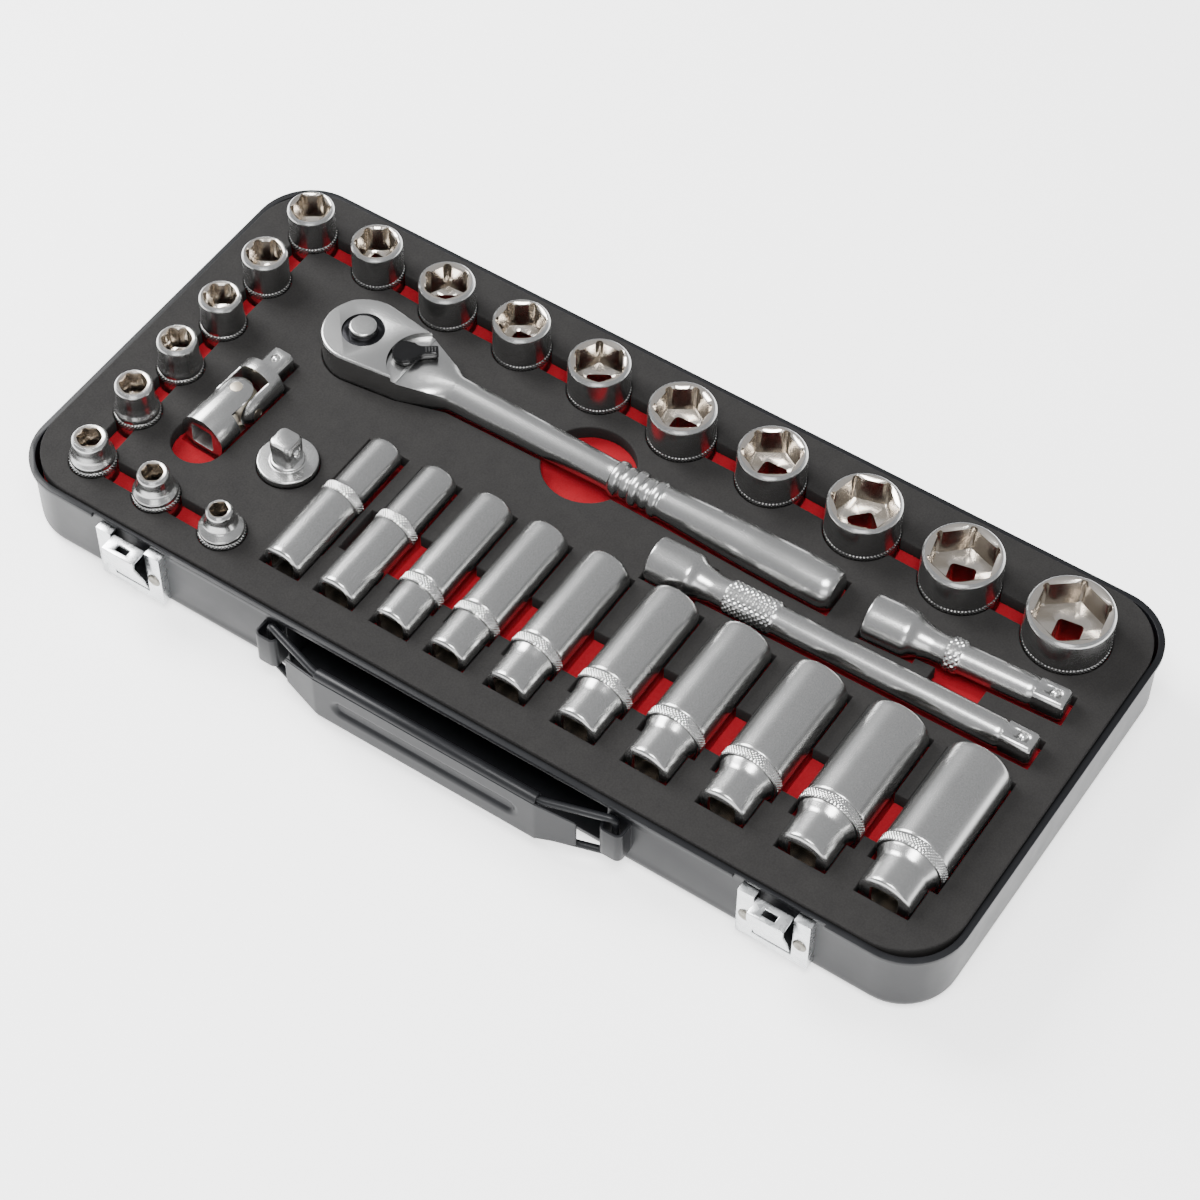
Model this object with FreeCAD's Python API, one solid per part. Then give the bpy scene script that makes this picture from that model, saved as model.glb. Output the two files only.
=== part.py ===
import FreeCAD, Part
import math
import os

os.makedirs("parts", exist_ok=True)

# Socket wrench set in its tray case.  Millimetres, +Z up.
# The origin is the centre of the tray's underside, +X runs along the long side and the
# handle and latches are on the -Y side.

# ---------------------------------------------------------------- case
tray_length = 382.6
tray_width = 172.3
tray_height = 32.5
sheet = 1.0
corner_radius = 21.0
bottom_radius = 6.0
rim_lip = 1.4
rim_depth = 1.8
rim_trim_half = 17.5
rim_trimmed_lip = 0.3

foam_gap = 0.3
foam_corner_extra = 2.5
red_foam_top = 28.0
foam_top = 34.0
foam_bottom_chamfer = 5.0
tool_clearance = 0.3

# ---------------------------------------------------------------- handle
grip_pocket_half = 67.0
grip_pocket_depth = 14.0
grip_pocket_floor = 6.5
grip_pocket_ceiling = 30.0
grip_pocket_corner = 5.0
bail_wire = 2.8
bail_top_z = 28.4
bail_bottom_z = 8.0
bail_side_x = 72.0
bail_rest_out = 2.6
bracket_width = 9.0
bracket_depth = 7.0
bracket_wall = 1.0
bracket_bottom = 11.0
bracket_top = 25.5
grip_centre_half = 46.0
grip_end_half = 60.5
grip_centre_out = 10.4
grip_end_out = 7.2
grip_sheet = 1.2
grip_end_top = 25.0
grip_end_bottom = 12.0
hem_clearance = 0.05
hem_wall = 0.9

# ---------------------------------------------------------------- latches
latch_x = 134.5
latch_width = 28.0
latch_bottom = 5.0
latch_top = 30.2
latch_out = 3.6
latch_sheet = 1.2
tongue_width = 14.0
tongue_gap = 0.6
tongue_top_out = 9.5
tongue_top_in = 2.1
tongue_slot_shift = 0.4
tongue_root_z = 9.0
tongue_slot_width = 5.2
tongue_slot_depth = 2.6
rivet_head_radius = 2.6
rivet_head_height = 0.7
rivet_radius = 1.5
rivet_z = 17.0
rivet_side = 10.6

# ---------------------------------------------------------------- standing sockets
drive_square = 9.6
standing_depth = 12.4
standing_height = 28.0
small_height = 24.8
small_size_limit = 8
drive_end_od = 17.0
band_bottom = 10.6
band_top = 14.0
band_step = 0.15
standing_drive_depth = 12.0
standing_hex_depth = 12.0
square_through_from = 14
# hex size across flats : (mouth diameter, centre x, centre y)
standing_sockets = {
    6: (10.0, -108.2, -68.4), 7: (11.8, -137.9, -68.2), 8: (13.3, -166.5, -68.2),
    9: (14.1, -167.4, -41.6), 10: (15.1, -167.7, -16.2), 11: (16.0, -167.8, 9.4),
    12: (17.3, -167.4, 35.7), 13: (17.8, -167.0, 63.6), 14: (19.5, -136.1, 63.0),
    15: (21.3, -103.1, 61.5), 16: (21.6, -69.5, 61.3), 17: (23.3, -34.8, 60.6),
    18: (25.2, 1.8, 59.4), 19: (25.5, 39.5, 59.8), 21: (27.4, 78.3, 58.5),
    22: (29.2, 118.4, 57.9), 24: (31.4, 161.0, 57.4),
}
finger_slot_width = 8.4
left_column = (8, 9, 10, 11, 12, 13)
front_row = (8, 7, 6)
back_row = (13, 14, 15, 16, 17, 18, 19, 21, 22, 24)

# ---------------------------------------------------------------- deep sockets
deep_length = 63.5
deep_drive_y = -69.5
deep_drive_depth = 12.0
deep_hex_depth = 34.0
deep_ring_length = 4.0
deep_neck_length = 12.5
deep_ring_from_end = 16.0
deep_ring_middle = 33.5
deep_ring_step = 0.35
deep_pocket_end = 1.6
deep_mouth_gap = 0.8
deep_pocket_step = 3.8
# hex size : (drive end diameter, hex end diameter, centre line x)
deep_sockets = {
    10: (16.4, 14.2, -81.3), 11: (16.4, 15.2, -57.9), 12: (15.6, 17.0, -34.2),
    13: (16.2, 17.8, -11.0), 14: (16.6, 19.4, 14.2), 15: (17.4, 20.6, 42.3),
    16: (17.8, 21.8, 71.0), 17: (18.2, 22.8, 101.0), 18: (19.2, 24.2, 132.3),
    19: (20.0, 25.2, 163.4),
}
trough_front = -51.0
trough_back = -31.0
trough_left = -70.0
trough_right = 151.0

# ---------------------------------------------------------------- ratchet
ratchet_x = -116.3
ratchet_y = 27.6
ratchet_axis_z = foam_top + 3.0
head_radius = 15.6
head_half_thickness = 9.0
head_shoulder_x = -93.0
head_shoulder_half = 12.7
neck_x = -75.0
shank_radius_head = 6.9
shank_radius_grip = 5.6
shank_end_x = -6.0
grip_ring_radii = (6.8, 6.0, 6.9, 6.0, 7.0)
grip_ring_pitch = 4.2
grip_start_radius = 6.3
grip_end_radius = 8.3
ratchet_end_x = 86.8
grip_round = 4.0
lever_step = 2.5
lever_recess_x = -88.0
lever_recess_radius = 14.6
gear_radius = 10.6
gear_teeth = 36
gear_tooth_depth = 0.7
gear_height = 8.0
gear_chamber_clearance = 0.5
gear_axial_gap = 0.05
running_clearance = 0.05
collar_radius = 8.0
collar_wall_top = 0.6
button_radius = 5.1
button_proud = 2.6
button_travel = 2.5
button_cap_depth = 3.0
anvil_square = 9.4
anvil_length = 11.0
cover_thickness = 2.0
cover_radius = 13.0
cover_gap = 0.3
lever_x = -97.3
lever_radius = 5.2
lever_length = 13.6
lever_tip_radius = 1.7
lever_height = 3.0
lever_angle = 38.0
lever_spindle = 2.4
pawl_chamber = 7.6
pawl_gap = 0.4
ball_radius = 1.7
ball_proud = 0.75
ball_travel = 0.7
ball_clearance = 0.05
finger_hole_x = -18.0
finger_hole_radius = 17.5

# ---------------------------------------------------------------- extensions
extension_barrel_od = 17.5
extension_barrel = 16.5
extension_neck = 13.5
extension_taper = 4.5
extension_shank_od = 10.9
extension_knurl_od = 12.6
male_square = 9.4
male_length = 11.5
extension_z = foam_top + 2.0
long_extension = {"length": 150.0, "x": 25.6, "y": 5.6, "turn": 1.1, "knurl": 20.0}
short_extension = {"length": 75.0, "x": 101.0, "y": 26.0, "turn": 3.4, "knurl": 6.0}
link_recess = (130.0, 149.5)

# ---------------------------------------------------------------- universal joint
joint_od = 18.6
joint_x = -139.9
joint_front_y = -39.0
joint_turn = -2.4
joint_z = foam_top + 1.0
joint_front_length = 20.2
joint_back_length = 15.0
joint_throat = 10.0
joint_swing_gap = 0.4
joint_fork_gap = 12.6
joint_arm_half = 6.0
cross_size = 12.0
cross_pin_radius = 2.3
joint_pocket_side = 0.9
joint_tilt_room = 2.2
joint_finger_radius = 10.5

# ---------------------------------------------------------------- adaptor
adaptor_x = -107.4
adaptor_y = -30.9
adaptor_od = 22.6
adaptor_above_foam = 2.6
adaptor_body = 17.0
adaptor_female = 12.8
adaptor_female_depth = 13.0
adaptor_collar_radius = 6.6
adaptor_collar = 1.0

WALL_Y = -tray_width / 2


def vec(x, y, z):
    return FreeCAD.Vector(x, y, z)


UP = vec(0, 0, 1)


def save(shape, name):
    """Write one sub-part and say how large it is."""
    if len(shape.Solids) == 1:
        shape = shape.Solids[0]
    shape.exportStep("parts/" + name + ".step")
    print(name, "solids", len(shape.Solids), "volume", round(shape.Volume, 1), "valid", shape.isValid())


def block(low, high):
    size = [high[i] - low[i] for i in range(3)]
    return Part.makeBox(size[0], size[1], size[2], vec(*low))


def rod(radius, start, end):
    direction = vec(*end).sub(vec(*start))
    return Part.makeCylinder(radius, direction.Length, vec(*start), direction)


def fused(shapes):
    result = shapes[0]
    for shape in shapes[1:]:
        result = result.fuse(shape)
    return result.removeSplitter()


def rounded_slab(half_x, half_y, radius, low, high):
    """A plate with four rounded upright corners."""
    edges = []
    corners = ((1, 1, 0), (-1, 1, 90), (-1, -1, 180), (1, -1, 270))
    arcs = []
    for side_x, side_y, start in corners:
        centre = vec(side_x * (half_x - radius), side_y * (half_y - radius), low)
        points = []
        for turn in (start, start + 45, start + 90):
            angle = math.radians(turn)
            points.append(centre.add(vec(radius * math.cos(angle), radius * math.sin(angle), 0)))
        arcs.append(points)
    for index, points in enumerate(arcs):
        edges.append(Part.Arc(*points).toShape())
        edges.append(Part.makeLine(points[2], arcs[(index + 1) % 4][0]))
    return Part.Face(Part.Wire(edges)).extrude(vec(0, 0, high - low))


def edges_at(shape, height):
    found = []
    for edge in shape.Edges:
        box = edge.BoundBox
        if abs(box.ZMin - height) < 1e-6 and abs(box.ZMax - height) < 1e-6:
            found.append(edge)
    return found


def polygon_prism(points, low, high):
    corners = [vec(x, y, low) for x, y in points]
    return Part.Face(Part.makePolygon(corners + [corners[0]])).extrude(vec(0, 0, high - low))


def hex_prism(across_flats, low, high):
    radius = across_flats / math.sqrt(3)
    points = []
    for step in range(6):
        angle = math.radians(60 * step + 30)
        points.append((radius * math.cos(angle), radius * math.sin(angle)))
    return polygon_prism(points, low, high)


def square_prism(across_flats, low, high, corner_cut=0.0):
    half = across_flats / 2
    prism = block((-half, -half, low), (half, half, high))
    if corner_cut > 0:
        keep = Part.makeCylinder(half * math.sqrt(2) - corner_cut, high - low, vec(0, 0, low), UP)
        prism = prism.common(keep)
    return prism


def turned(profile):
    """Turn a list of (radius, height) points about the Z axis."""
    points = [vec(radius, 0, height) for radius, height in profile]
    face = Part.Face(Part.makePolygon(points + [points[0]]))
    return face.revolve(vec(0, 0, 0), UP, 360)


def lie_along_y(shape):
    """Turn a piece made along +Z so that it lies along +Y."""
    copy = shape.copy()
    copy.rotate(vec(0, 0, 0), vec(1, 0, 0), -90)
    return copy


def lie_along_x(shape):
    """Turn a piece made along +Z so that it lies along +X."""
    copy = shape.copy()
    copy.rotate(vec(0, 0, 0), vec(0, 1, 0), 90)
    return copy


def placed(shape, x, y, z, turn=0.0):
    copy = shape.copy()
    if turn:
        copy.rotate(vec(0, 0, 0), UP, turn)
    copy.translate(vec(x, y, z))
    return copy


# ---------------------------------------------------------------- layout
def standing_outer(size):
    """Largest radius of a standing socket."""
    return max(standing_sockets[size][0], drive_end_od) / 2 + band_step


def standing_centre(size):
    """Centre of a standing socket."""
    return standing_sockets[size][1], standing_sockets[size][2]


def deep_outer(size):
    return max(deep_sockets[size][0], deep_sockets[size][1]) / 2 + deep_ring_step


# ---------------------------------------------------------------- tools
def socket_cavity(size, length, hex_depth, drive_depth, through_square):
    """The hex from the mouth, the square from the drive end and what joins them."""
    hexagon = hex_prism(size, length - hex_depth, length + 1)
    lead_in = turned([(0, length - 0.9), (size / 2, length - 0.9), (size / 2 + 1.1, length + 0.2), (0, length + 0.2)])
    square = square_prism(drive_square, -1, drive_depth, 0.5)
    link_radius = min(size, drive_square) * 0.46
    if through_square:
        link = square_prism(drive_square, 0, length - hex_depth + 0.1, 0.5)
    else:
        link = Part.makeCylinder(link_radius, length - 2, vec(0, 0, 1), UP)
    return [hexagon, lead_in, square, link]


def standing_socket(size):
    mouth = standing_sockets[size][0] / 2
    body = max(mouth, drive_end_od / 2)
    band = body + band_step
    height = small_height if size <= small_size_limit else standing_height
    profile = [(0, 0), (body - 1.4, 0), (body - 0.5, 0.9), (body - 0.5, band_bottom), (band, band_bottom)]
    profile.append((band, band_top))
    if mouth < drive_end_od / 2 - 0.4:
        profile.append((body, band_top + 0.3))
        profile.append((body, band_top + 1.6))
        profile.append((mouth + 0.35 * (body - mouth), band_top + 3.6))
        profile.append((mouth, band_top + 6.4))
    else:
        profile.append((body, band_top + 0.2))
    profile.append((mouth, height - 0.8))
    profile.append((mouth - 0.25, height - 0.25))
    profile.append((mouth - 0.8, height))
    profile.append((0, height))
    solid = turned(profile)
    hex_depth = min(standing_hex_depth, 6.0 + size * 0.45)
    cavity = socket_cavity(size, height, hex_depth, standing_drive_depth, size >= square_through_from)
    return solid.cut(cavity)


def deep_socket(size):
    drive_od, hex_od, place = deep_sockets[size]
    drive = drive_od / 2
    tube = hex_od / 2
    band = deep_outer(size)
    profile = [(0, 0), (drive - 0.7, 0), (drive, 0.7)]
    if tube < drive:
        ring = deep_ring_middle
        profile += [(drive, ring), (band, ring), (band, ring + deep_ring_length)]
        profile += [(tube, ring + deep_ring_length + 0.3)]
    else:
        ring = deep_ring_from_end
        profile += [(drive, deep_neck_length), (tube - 0.5, ring - 1.0), (tube - 0.2, ring)]
        profile += [(band, ring), (band, ring + deep_ring_length), (tube, ring + deep_ring_length)]
    profile += [(tube, deep_length - 1.6), (tube - 0.5, deep_length - 0.5), (tube - 1.4, deep_length)]
    profile += [(0, deep_length)]
    solid = turned(profile)
    solid = solid.cut(socket_cavity(size, deep_length, deep_hex_depth, deep_drive_depth, False))
    return placed(lie_along_y(solid), place, deep_drive_y, foam_top)


def ball_bore(face_distance, depth_from_tip, tip):
    """A blind bore for a detent ball in the +X face of a square made along +Z."""
    seat = face_distance + ball_proud - ball_radius - ball_travel
    height = tip - depth_from_tip
    cylinder = Part.makeCylinder(ball_radius + ball_clearance, 20, vec(seat, 0, height), vec(1, 0, 0))
    bottom = Part.makeSphere(ball_radius + ball_clearance, vec(seat, 0, height))
    return cylinder.fuse(bottom)


def detent_ball(face_distance, depth_from_tip, tip):
    centre = vec(face_distance + ball_proud - ball_radius, 0, tip - depth_from_tip)
    return Part.makeSphere(ball_radius, centre)


def extension(length, knurl):
    """An extension bar along +Z with its male end at the top, and its detent ball."""
    barrel = extension_barrel_od / 2
    shank = extension_shank_od / 2
    band = extension_knurl_od / 2
    neck_end = extension_barrel + extension_neck
    male = length - male_length
    profile = [(0, 0), (barrel - 0.8, 0), (barrel, 0.8), (barrel, extension_barrel - 0.6)]
    profile += [(barrel - 0.6, extension_barrel), (shank + 1.0, extension_barrel + extension_taper)]
    profile += [(shank, neck_end - 3.0), (shank, neck_end)]
    profile += [(band, neck_end + 0.3), (band, neck_end + knurl - 0.3)]
    profile += [(shank, neck_end + knurl), (shank, male - 1.2), (shank - 0.9, male), (0, male)]
    solid = turned(profile)
    shank_square = square_prism(male_square, male - 1.0, length - 0.6, 1.0)
    nose = square_prism(male_square - 1.0, length - 0.7, length, 1.0)
    solid = solid.fuse([shank_square, nose])
    solid = solid.cut([square_prism(drive_square, -1, deep_drive_depth, 0.5)])
    solid = solid.cut(ball_bore(male_square / 2, male_length * 0.42, length))
    ball = detent_ball(male_square / 2, male_length * 0.42, length)
    return solid, ball


def lay_extension(shape, place):
    """Lay an extension along +X with its ball on top."""
    copy = shape.copy()
    copy.rotate(vec(0, 0, 0), UP, 180)
    return placed(lie_along_x(copy), place["x"], place["y"], extension_z, place["turn"])


def adaptor():
    """A step-down adaptor standing on its large square, male square up."""
    radius = adaptor_od / 2
    top = adaptor_body
    profile = [(0, 0), (radius - 1.2, 0), (radius - 0.4, 0.8), (radius - 0.4, top - 4.0), (radius, top - 3.6)]
    profile += [(radius, top - 0.5), (radius - 0.5, top), (adaptor_collar_radius + 0.4, top)]
    profile += [(adaptor_collar_radius, top + adaptor_collar), (0, top + adaptor_collar)]
    tip = top + male_length
    solid = turned(profile)
    solid = solid.fuse([square_prism(male_square, top, tip - 0.6, 1.0),
                        square_prism(male_square - 1.0, tip - 0.7, tip, 1.0)])
    solid = solid.cut([square_prism(adaptor_female, -1, adaptor_female_depth, 0.6)])
    solid = solid.cut(ball_bore(male_square / 2, male_length * 0.45, tip))
    ball = detent_ball(male_square / 2, male_length * 0.45, tip)
    base = foam_top + adaptor_above_foam - adaptor_body
    return placed(solid, adaptor_x, adaptor_y, base), placed(ball, adaptor_x, adaptor_y, base)


def joint_fork(disc_end):
    """A disc and two arms for one half of the joint, arms up and down local Y, disc towards +Z."""
    radius = joint_od / 2
    disc = Part.makeCylinder(radius, disc_end - joint_throat, vec(0, 0, joint_throat), UP)
    reach = Part.makeSphere(joint_throat - joint_swing_gap, vec(0, 0, 0))
    eye = rod(joint_arm_half, (0, -radius, 0), (0, radius, 0))
    strap = block((-joint_arm_half, -radius, 0), (joint_arm_half, radius, joint_throat + 0.5))
    barrel = Part.makeCylinder(radius, 60, vec(0, 0, -30), UP)
    arms = eye.fuse(strap).common(barrel)
    tips = arms.common(reach)
    root = arms.common(block((-20, -20, 2.0), (20, 20, 40)))
    gap = joint_fork_gap / 2
    arms = tips.fuse(root).cut(block((-20, -gap, -20), (20, gap, joint_throat)))
    hole = rod(cross_pin_radius + running_clearance, (0, -20, 0), (0, 20, 0))
    return disc.fuse(arms).cut(hole)


def universal_joint():
    """Two forks on a cross, made along +Z with the pivot at the origin and the male end up."""
    front = joint_fork(joint_front_length)
    front.rotate(vec(0, 0, 0), vec(0, 1, 0), 180)
    front = front.cut(square_prism(drive_square, -joint_front_length - 1, -joint_throat - 1.0, 0.5))
    back = joint_fork(joint_back_length)
    back.rotate(vec(0, 0, 0), UP, 90)
    tip = joint_back_length + male_length
    back = back.fuse([square_prism(male_square, joint_back_length - 0.5, tip - 0.6, 1.0),
                      square_prism(male_square - 1.0, tip - 0.7, tip, 1.0)])
    bore = ball_bore(male_square / 2, male_length * 0.42, tip)
    bore.rotate(vec(0, 0, 0), UP, -90)
    back = back.cut(bore)
    ball = detent_ball(male_square / 2, male_length * 0.42, tip)
    ball.rotate(vec(0, 0, 0), UP, -90)
    half = cross_size / 2
    centre = block((-half, -half, -half), (half, half, half))
    centre = centre.common(Part.makeSphere(half * 1.35, vec(0, 0, 0)))
    end = joint_od / 2 - 0.2
    cross = fused([centre, rod(cross_pin_radius, (0, -end, 0), (0, end, 0)),
                   rod(cross_pin_radius, (-end, 0, 0), (end, 0, 0))])
    return front, back, cross, ball


def lay_universal_joint(shape):
    """Lay the joint along +Y, its front fork's pin upright and its ball on top."""
    copy = lie_along_y(shape)
    turn = math.radians(joint_turn)
    x = joint_x - joint_front_length * math.sin(turn)
    y = joint_front_y + joint_front_length * math.cos(turn)
    return placed(copy, x, y, joint_z, joint_turn)


# ---------------------------------------------------------------- ratchet
def ratchet_head(extra, bottom, top):
    """The round head and its straight flanks, larger all round by extra."""
    radius = head_radius + extra
    half = head_shoulder_half + extra
    side = math.atan2(radius - half, head_shoulder_x - ratchet_x)
    tangent_x = ratchet_x + radius * math.sin(side)
    tangent_y = radius * math.cos(side)
    upper = vec(tangent_x, ratchet_y + tangent_y, bottom)
    lower = vec(tangent_x, ratchet_y - tangent_y, bottom)
    nose = vec(ratchet_x - radius, ratchet_y, bottom)
    far_upper = vec(head_shoulder_x, ratchet_y + half, bottom)
    far_lower = vec(head_shoulder_x, ratchet_y - half, bottom)
    outline = Part.Wire([Part.Arc(lower, nose, upper).toShape(), Part.makeLine(upper, far_upper),
                         Part.makeLine(far_upper, far_lower), Part.makeLine(far_lower, lower)])
    return Part.Face(outline).extrude(vec(0, 0, top - bottom))


def ratchet_body():
    top = ratchet_axis_z + head_half_thickness
    bottom = ratchet_axis_z - head_half_thickness
    head = ratchet_head(0, bottom, top)
    rim_edges = []
    for edge in head.Edges:
        box = edge.BoundBox
        if box.ZMax - box.ZMin < 1e-6 and box.XMax < head_shoulder_x - 1e-3 and box.YMax - box.YMin < 60:
            if abs(box.XMax - box.XMin) > 1e-3:
                rim_edges.append(edge)
    head = head.makeFillet(1.0, rim_edges)
    recess_centre = vec(lever_recess_x, ratchet_y, top - lever_step)
    head = head.cut(Part.makeCylinder(lever_recess_radius, 10, recess_centre, UP))
    shoulder = block((head_shoulder_x, ratchet_y - head_shoulder_half, bottom + 1.0),
                     (head_shoulder_x + 0.01, ratchet_y + head_shoulder_half, top - lever_step - 0.5))
    neck_start = [face for face in shoulder.Faces if abs(face.CenterOfMass.x - head_shoulder_x) < 1e-6][0]
    ring = Part.Wire(Part.makeCircle(shank_radius_head, vec(neck_x, ratchet_y, ratchet_axis_z), vec(1, 0, 0)))
    neck = Part.makeLoft([neck_start.OuterWire, ring], True, True)
    length = ratchet_end_x - neck_x
    profile = [(0, 0), (shank_radius_head, 0), (shank_radius_grip, shank_end_x - neck_x)]
    along = shank_end_x - neck_x
    for radius in grip_ring_radii:
        profile.append((radius, along + 0.8))
        profile.append((radius, along + grip_ring_pitch - 0.8))
        along += grip_ring_pitch
    profile.append((grip_start_radius, along + 1.0))
    profile.append((grip_end_radius, length - grip_round * 3))
    profile.append((grip_end_radius, length - grip_round))
    profile.append((grip_end_radius * 0.86, length - grip_round * 0.35))
    profile.append((grip_end_radius * 0.5, length))
    profile.append((0, length))
    handle = placed(lie_along_x(turned(profile)), neck_x, ratchet_y, ratchet_axis_z)
    body = head.fuse([neck, handle])
    floor = ratchet_axis_z - head_half_thickness
    chamber_top = floor + cover_thickness + gear_height + 2 * gear_axial_gap
    below = vec(ratchet_x, ratchet_y, floor - 1)
    pivot = vec(lever_x, ratchet_y, floor + cover_thickness)
    chamber = Part.makeCylinder(gear_radius + gear_chamber_clearance, chamber_top - floor + 1, below, UP)
    cover_seat = Part.makeCylinder(cover_radius + cover_gap, cover_thickness + 1, below, UP)
    collar_hole = Part.makeCylinder(collar_radius + running_clearance, 30, below, UP)
    pawl_room = Part.makeCylinder(pawl_chamber, gear_height, pivot, UP)
    spindle = Part.makeCylinder(lever_spindle + running_clearance, 30, pivot, UP)
    return body.cut([chamber, cover_seat, collar_hole, pawl_room, spindle])


def ratchet_gear():
    """The toothed drive with its square anvil below and a collar through the head above."""
    floor = ratchet_axis_z - head_half_thickness
    low = floor + cover_thickness + gear_axial_gap
    points = []
    for tooth in range(gear_teeth):
        for offset, radius in ((0.0, gear_radius), (0.5, gear_radius - gear_tooth_depth)):
            angle = 2 * math.pi * (tooth + offset) / gear_teeth
            points.append((radius * math.cos(angle), radius * math.sin(angle)))
    wheel = polygon_prism(points, low, low + gear_height)
    head_top = ratchet_axis_z + head_half_thickness
    collar = Part.makeCylinder(collar_radius, head_top - collar_wall_top - low, vec(0, 0, low), UP)
    boss = Part.makeCylinder(cover_boss_radius(), low - floor + 0.3, vec(0, 0, floor - 0.3), UP)
    anvil = square_prism(anvil_square, floor - anvil_length, low + 0.5, 1.0)
    drive = wheel.fuse([collar, boss, anvil])
    well_floor = head_top - button_cap_depth - button_travel - 1.0
    well = Part.makeCylinder(button_radius + running_clearance, 12, vec(0, 0, well_floor), UP)
    stem = Part.makeCylinder(1.6 + running_clearance, 40, vec(0, 0, floor - anvil_length * 0.55), UP)
    drive = drive.cut([well, stem])
    seat = anvil_square / 2 + ball_proud - ball_radius - ball_travel
    height = floor - anvil_length * 0.6
    bore = Part.makeCylinder(ball_radius + ball_clearance, 20, vec(seat, 0, height), vec(1, 0, 0))
    drive = drive.cut(bore.fuse(Part.makeSphere(ball_radius + ball_clearance, vec(seat, 0, height))))
    ball = Part.makeSphere(ball_radius, vec(anvil_square / 2 + ball_proud - ball_radius, 0, height))
    return placed(drive, ratchet_x, ratchet_y, 0), placed(ball, ratchet_x, ratchet_y, 0)


def cover_boss_radius():
    return anvil_square / math.sqrt(2) + 0.3


def ratchet_cover():
    """The round plate that closes the head round the drive."""
    floor = ratchet_axis_z - head_half_thickness
    plate = Part.makeCylinder(cover_radius, cover_thickness, vec(ratchet_x, ratchet_y, floor), UP)
    hole = Part.makeCylinder(cover_boss_radius() + running_clearance, 10, vec(ratchet_x, ratchet_y, floor - 1), UP)
    return plate.cut(hole)


def release_button():
    head_top = ratchet_axis_z + head_half_thickness
    cap_low = vec(0, 0, head_top - button_cap_depth)
    cap = Part.makeCylinder(button_radius, button_proud + button_cap_depth, cap_low, UP)
    cap = cap.makeFillet(0.8, edges_at(cap, head_top + button_proud))
    stem = Part.makeCylinder(1.6, 10, vec(0, 0, head_top - 12.5), UP)
    return placed(cap.fuse(stem).removeSplitter(), ratchet_x, ratchet_y, 0)


def reversing_lever():
    """A teardrop lever on an upright spindle."""
    base = ratchet_axis_z + head_half_thickness - lever_step + 0.1
    hub = Part.makeCylinder(lever_radius, lever_height, vec(0, 0, base), UP)
    reach = lever_length - lever_radius - lever_tip_radius
    tip_x = lever_radius + reach - 1.0
    outline = [(0, -lever_radius * 0.92), (tip_x, -lever_tip_radius), (tip_x, lever_tip_radius),
               (0, lever_radius * 0.92)]
    arm = polygon_prism(outline, base, base + lever_height)
    tip = Part.makeCylinder(lever_tip_radius, lever_height, vec(tip_x, 0, base), UP)
    floor = ratchet_axis_z - head_half_thickness + cover_thickness
    spindle = Part.makeCylinder(lever_spindle, base - floor + 0.5, vec(0, 0, floor + 0.05), UP)
    lever = fused([hub, tip, arm]).fuse(spindle).removeSplitter()
    return placed(lever, lever_x, ratchet_y, 0, lever_angle)


def ratchet_pawl():
    """A curved block between the lever's spindle and the drive's teeth, held just clear of them."""
    floor = ratchet_axis_z - head_half_thickness + cover_thickness
    low = floor + 0.4
    high = floor + gear_height - 0.4
    block_shape = Part.makeCylinder(pawl_chamber - 0.5, high - low, vec(lever_x, ratchet_y, low), UP)
    gear_room = Part.makeCylinder(gear_radius + pawl_gap, 40, vec(ratchet_x, ratchet_y, floor - 5), UP)
    spindle_room = Part.makeCylinder(lever_spindle + 0.3, 40, vec(lever_x, ratchet_y, floor - 5), UP)
    half = block((lever_x - 20, ratchet_y - 20, floor - 5), (lever_x + 1.0, ratchet_y + 20, floor + 20))
    return block_shape.common(half).cut([gear_room, spindle_room])


# ---------------------------------------------------------------- case pieces
def grip_pocket(extra):
    """The hand pocket in the front wall, made larger all round by extra."""
    half = grip_pocket_half + extra
    depth = grip_pocket_depth + extra
    room = block((-half, WALL_Y - 20, grip_pocket_floor - extra), (half, WALL_Y + depth, grip_pocket_ceiling + extra))
    upright = []
    for edge in room.Edges:
        box = edge.BoundBox
        if box.ZMax - box.ZMin > 5 and box.YMin > WALL_Y:
            upright.append(edge)
    return room.makeFillet(grip_pocket_corner, upright)


def tray():
    half_x = tray_length / 2
    half_y = tray_width / 2
    outer = rounded_slab(half_x, half_y, corner_radius, 0, tray_height)
    outer = outer.makeFillet(bottom_radius, edges_at(outer, 0))
    inner = rounded_slab(half_x - sheet, half_y - sheet, corner_radius - sheet, sheet, tray_height + 5)
    inner = inner.makeFillet(bottom_radius - sheet, edges_at(inner, sheet))
    outer = outer.cut(grip_pocket(0))
    inner = inner.cut(grip_pocket(sheet))
    rim_low = tray_height - rim_depth
    rim = rounded_slab(half_x + rim_lip, half_y + rim_lip, corner_radius + rim_lip, rim_low, tray_height)
    rim_room = rounded_slab(half_x - sheet, half_y - sheet, corner_radius - sheet, rim_low - 1, tray_height + 1)
    rim = rim.cut(rim_room)
    for side in (-1, 1):
        trim = block((side * latch_x - rim_trim_half, WALL_Y - 20, 0),
                     (side * latch_x + rim_trim_half, WALL_Y - rim_trimmed_lip, tray_height + 5))
        rim = rim.cut(trim)
    shell = outer.cut(inner).fuse(rim)
    for side in (-1, 1):
        shell = shell.fuse(bail_bracket(side))
    return shell.removeSplitter()


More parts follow.
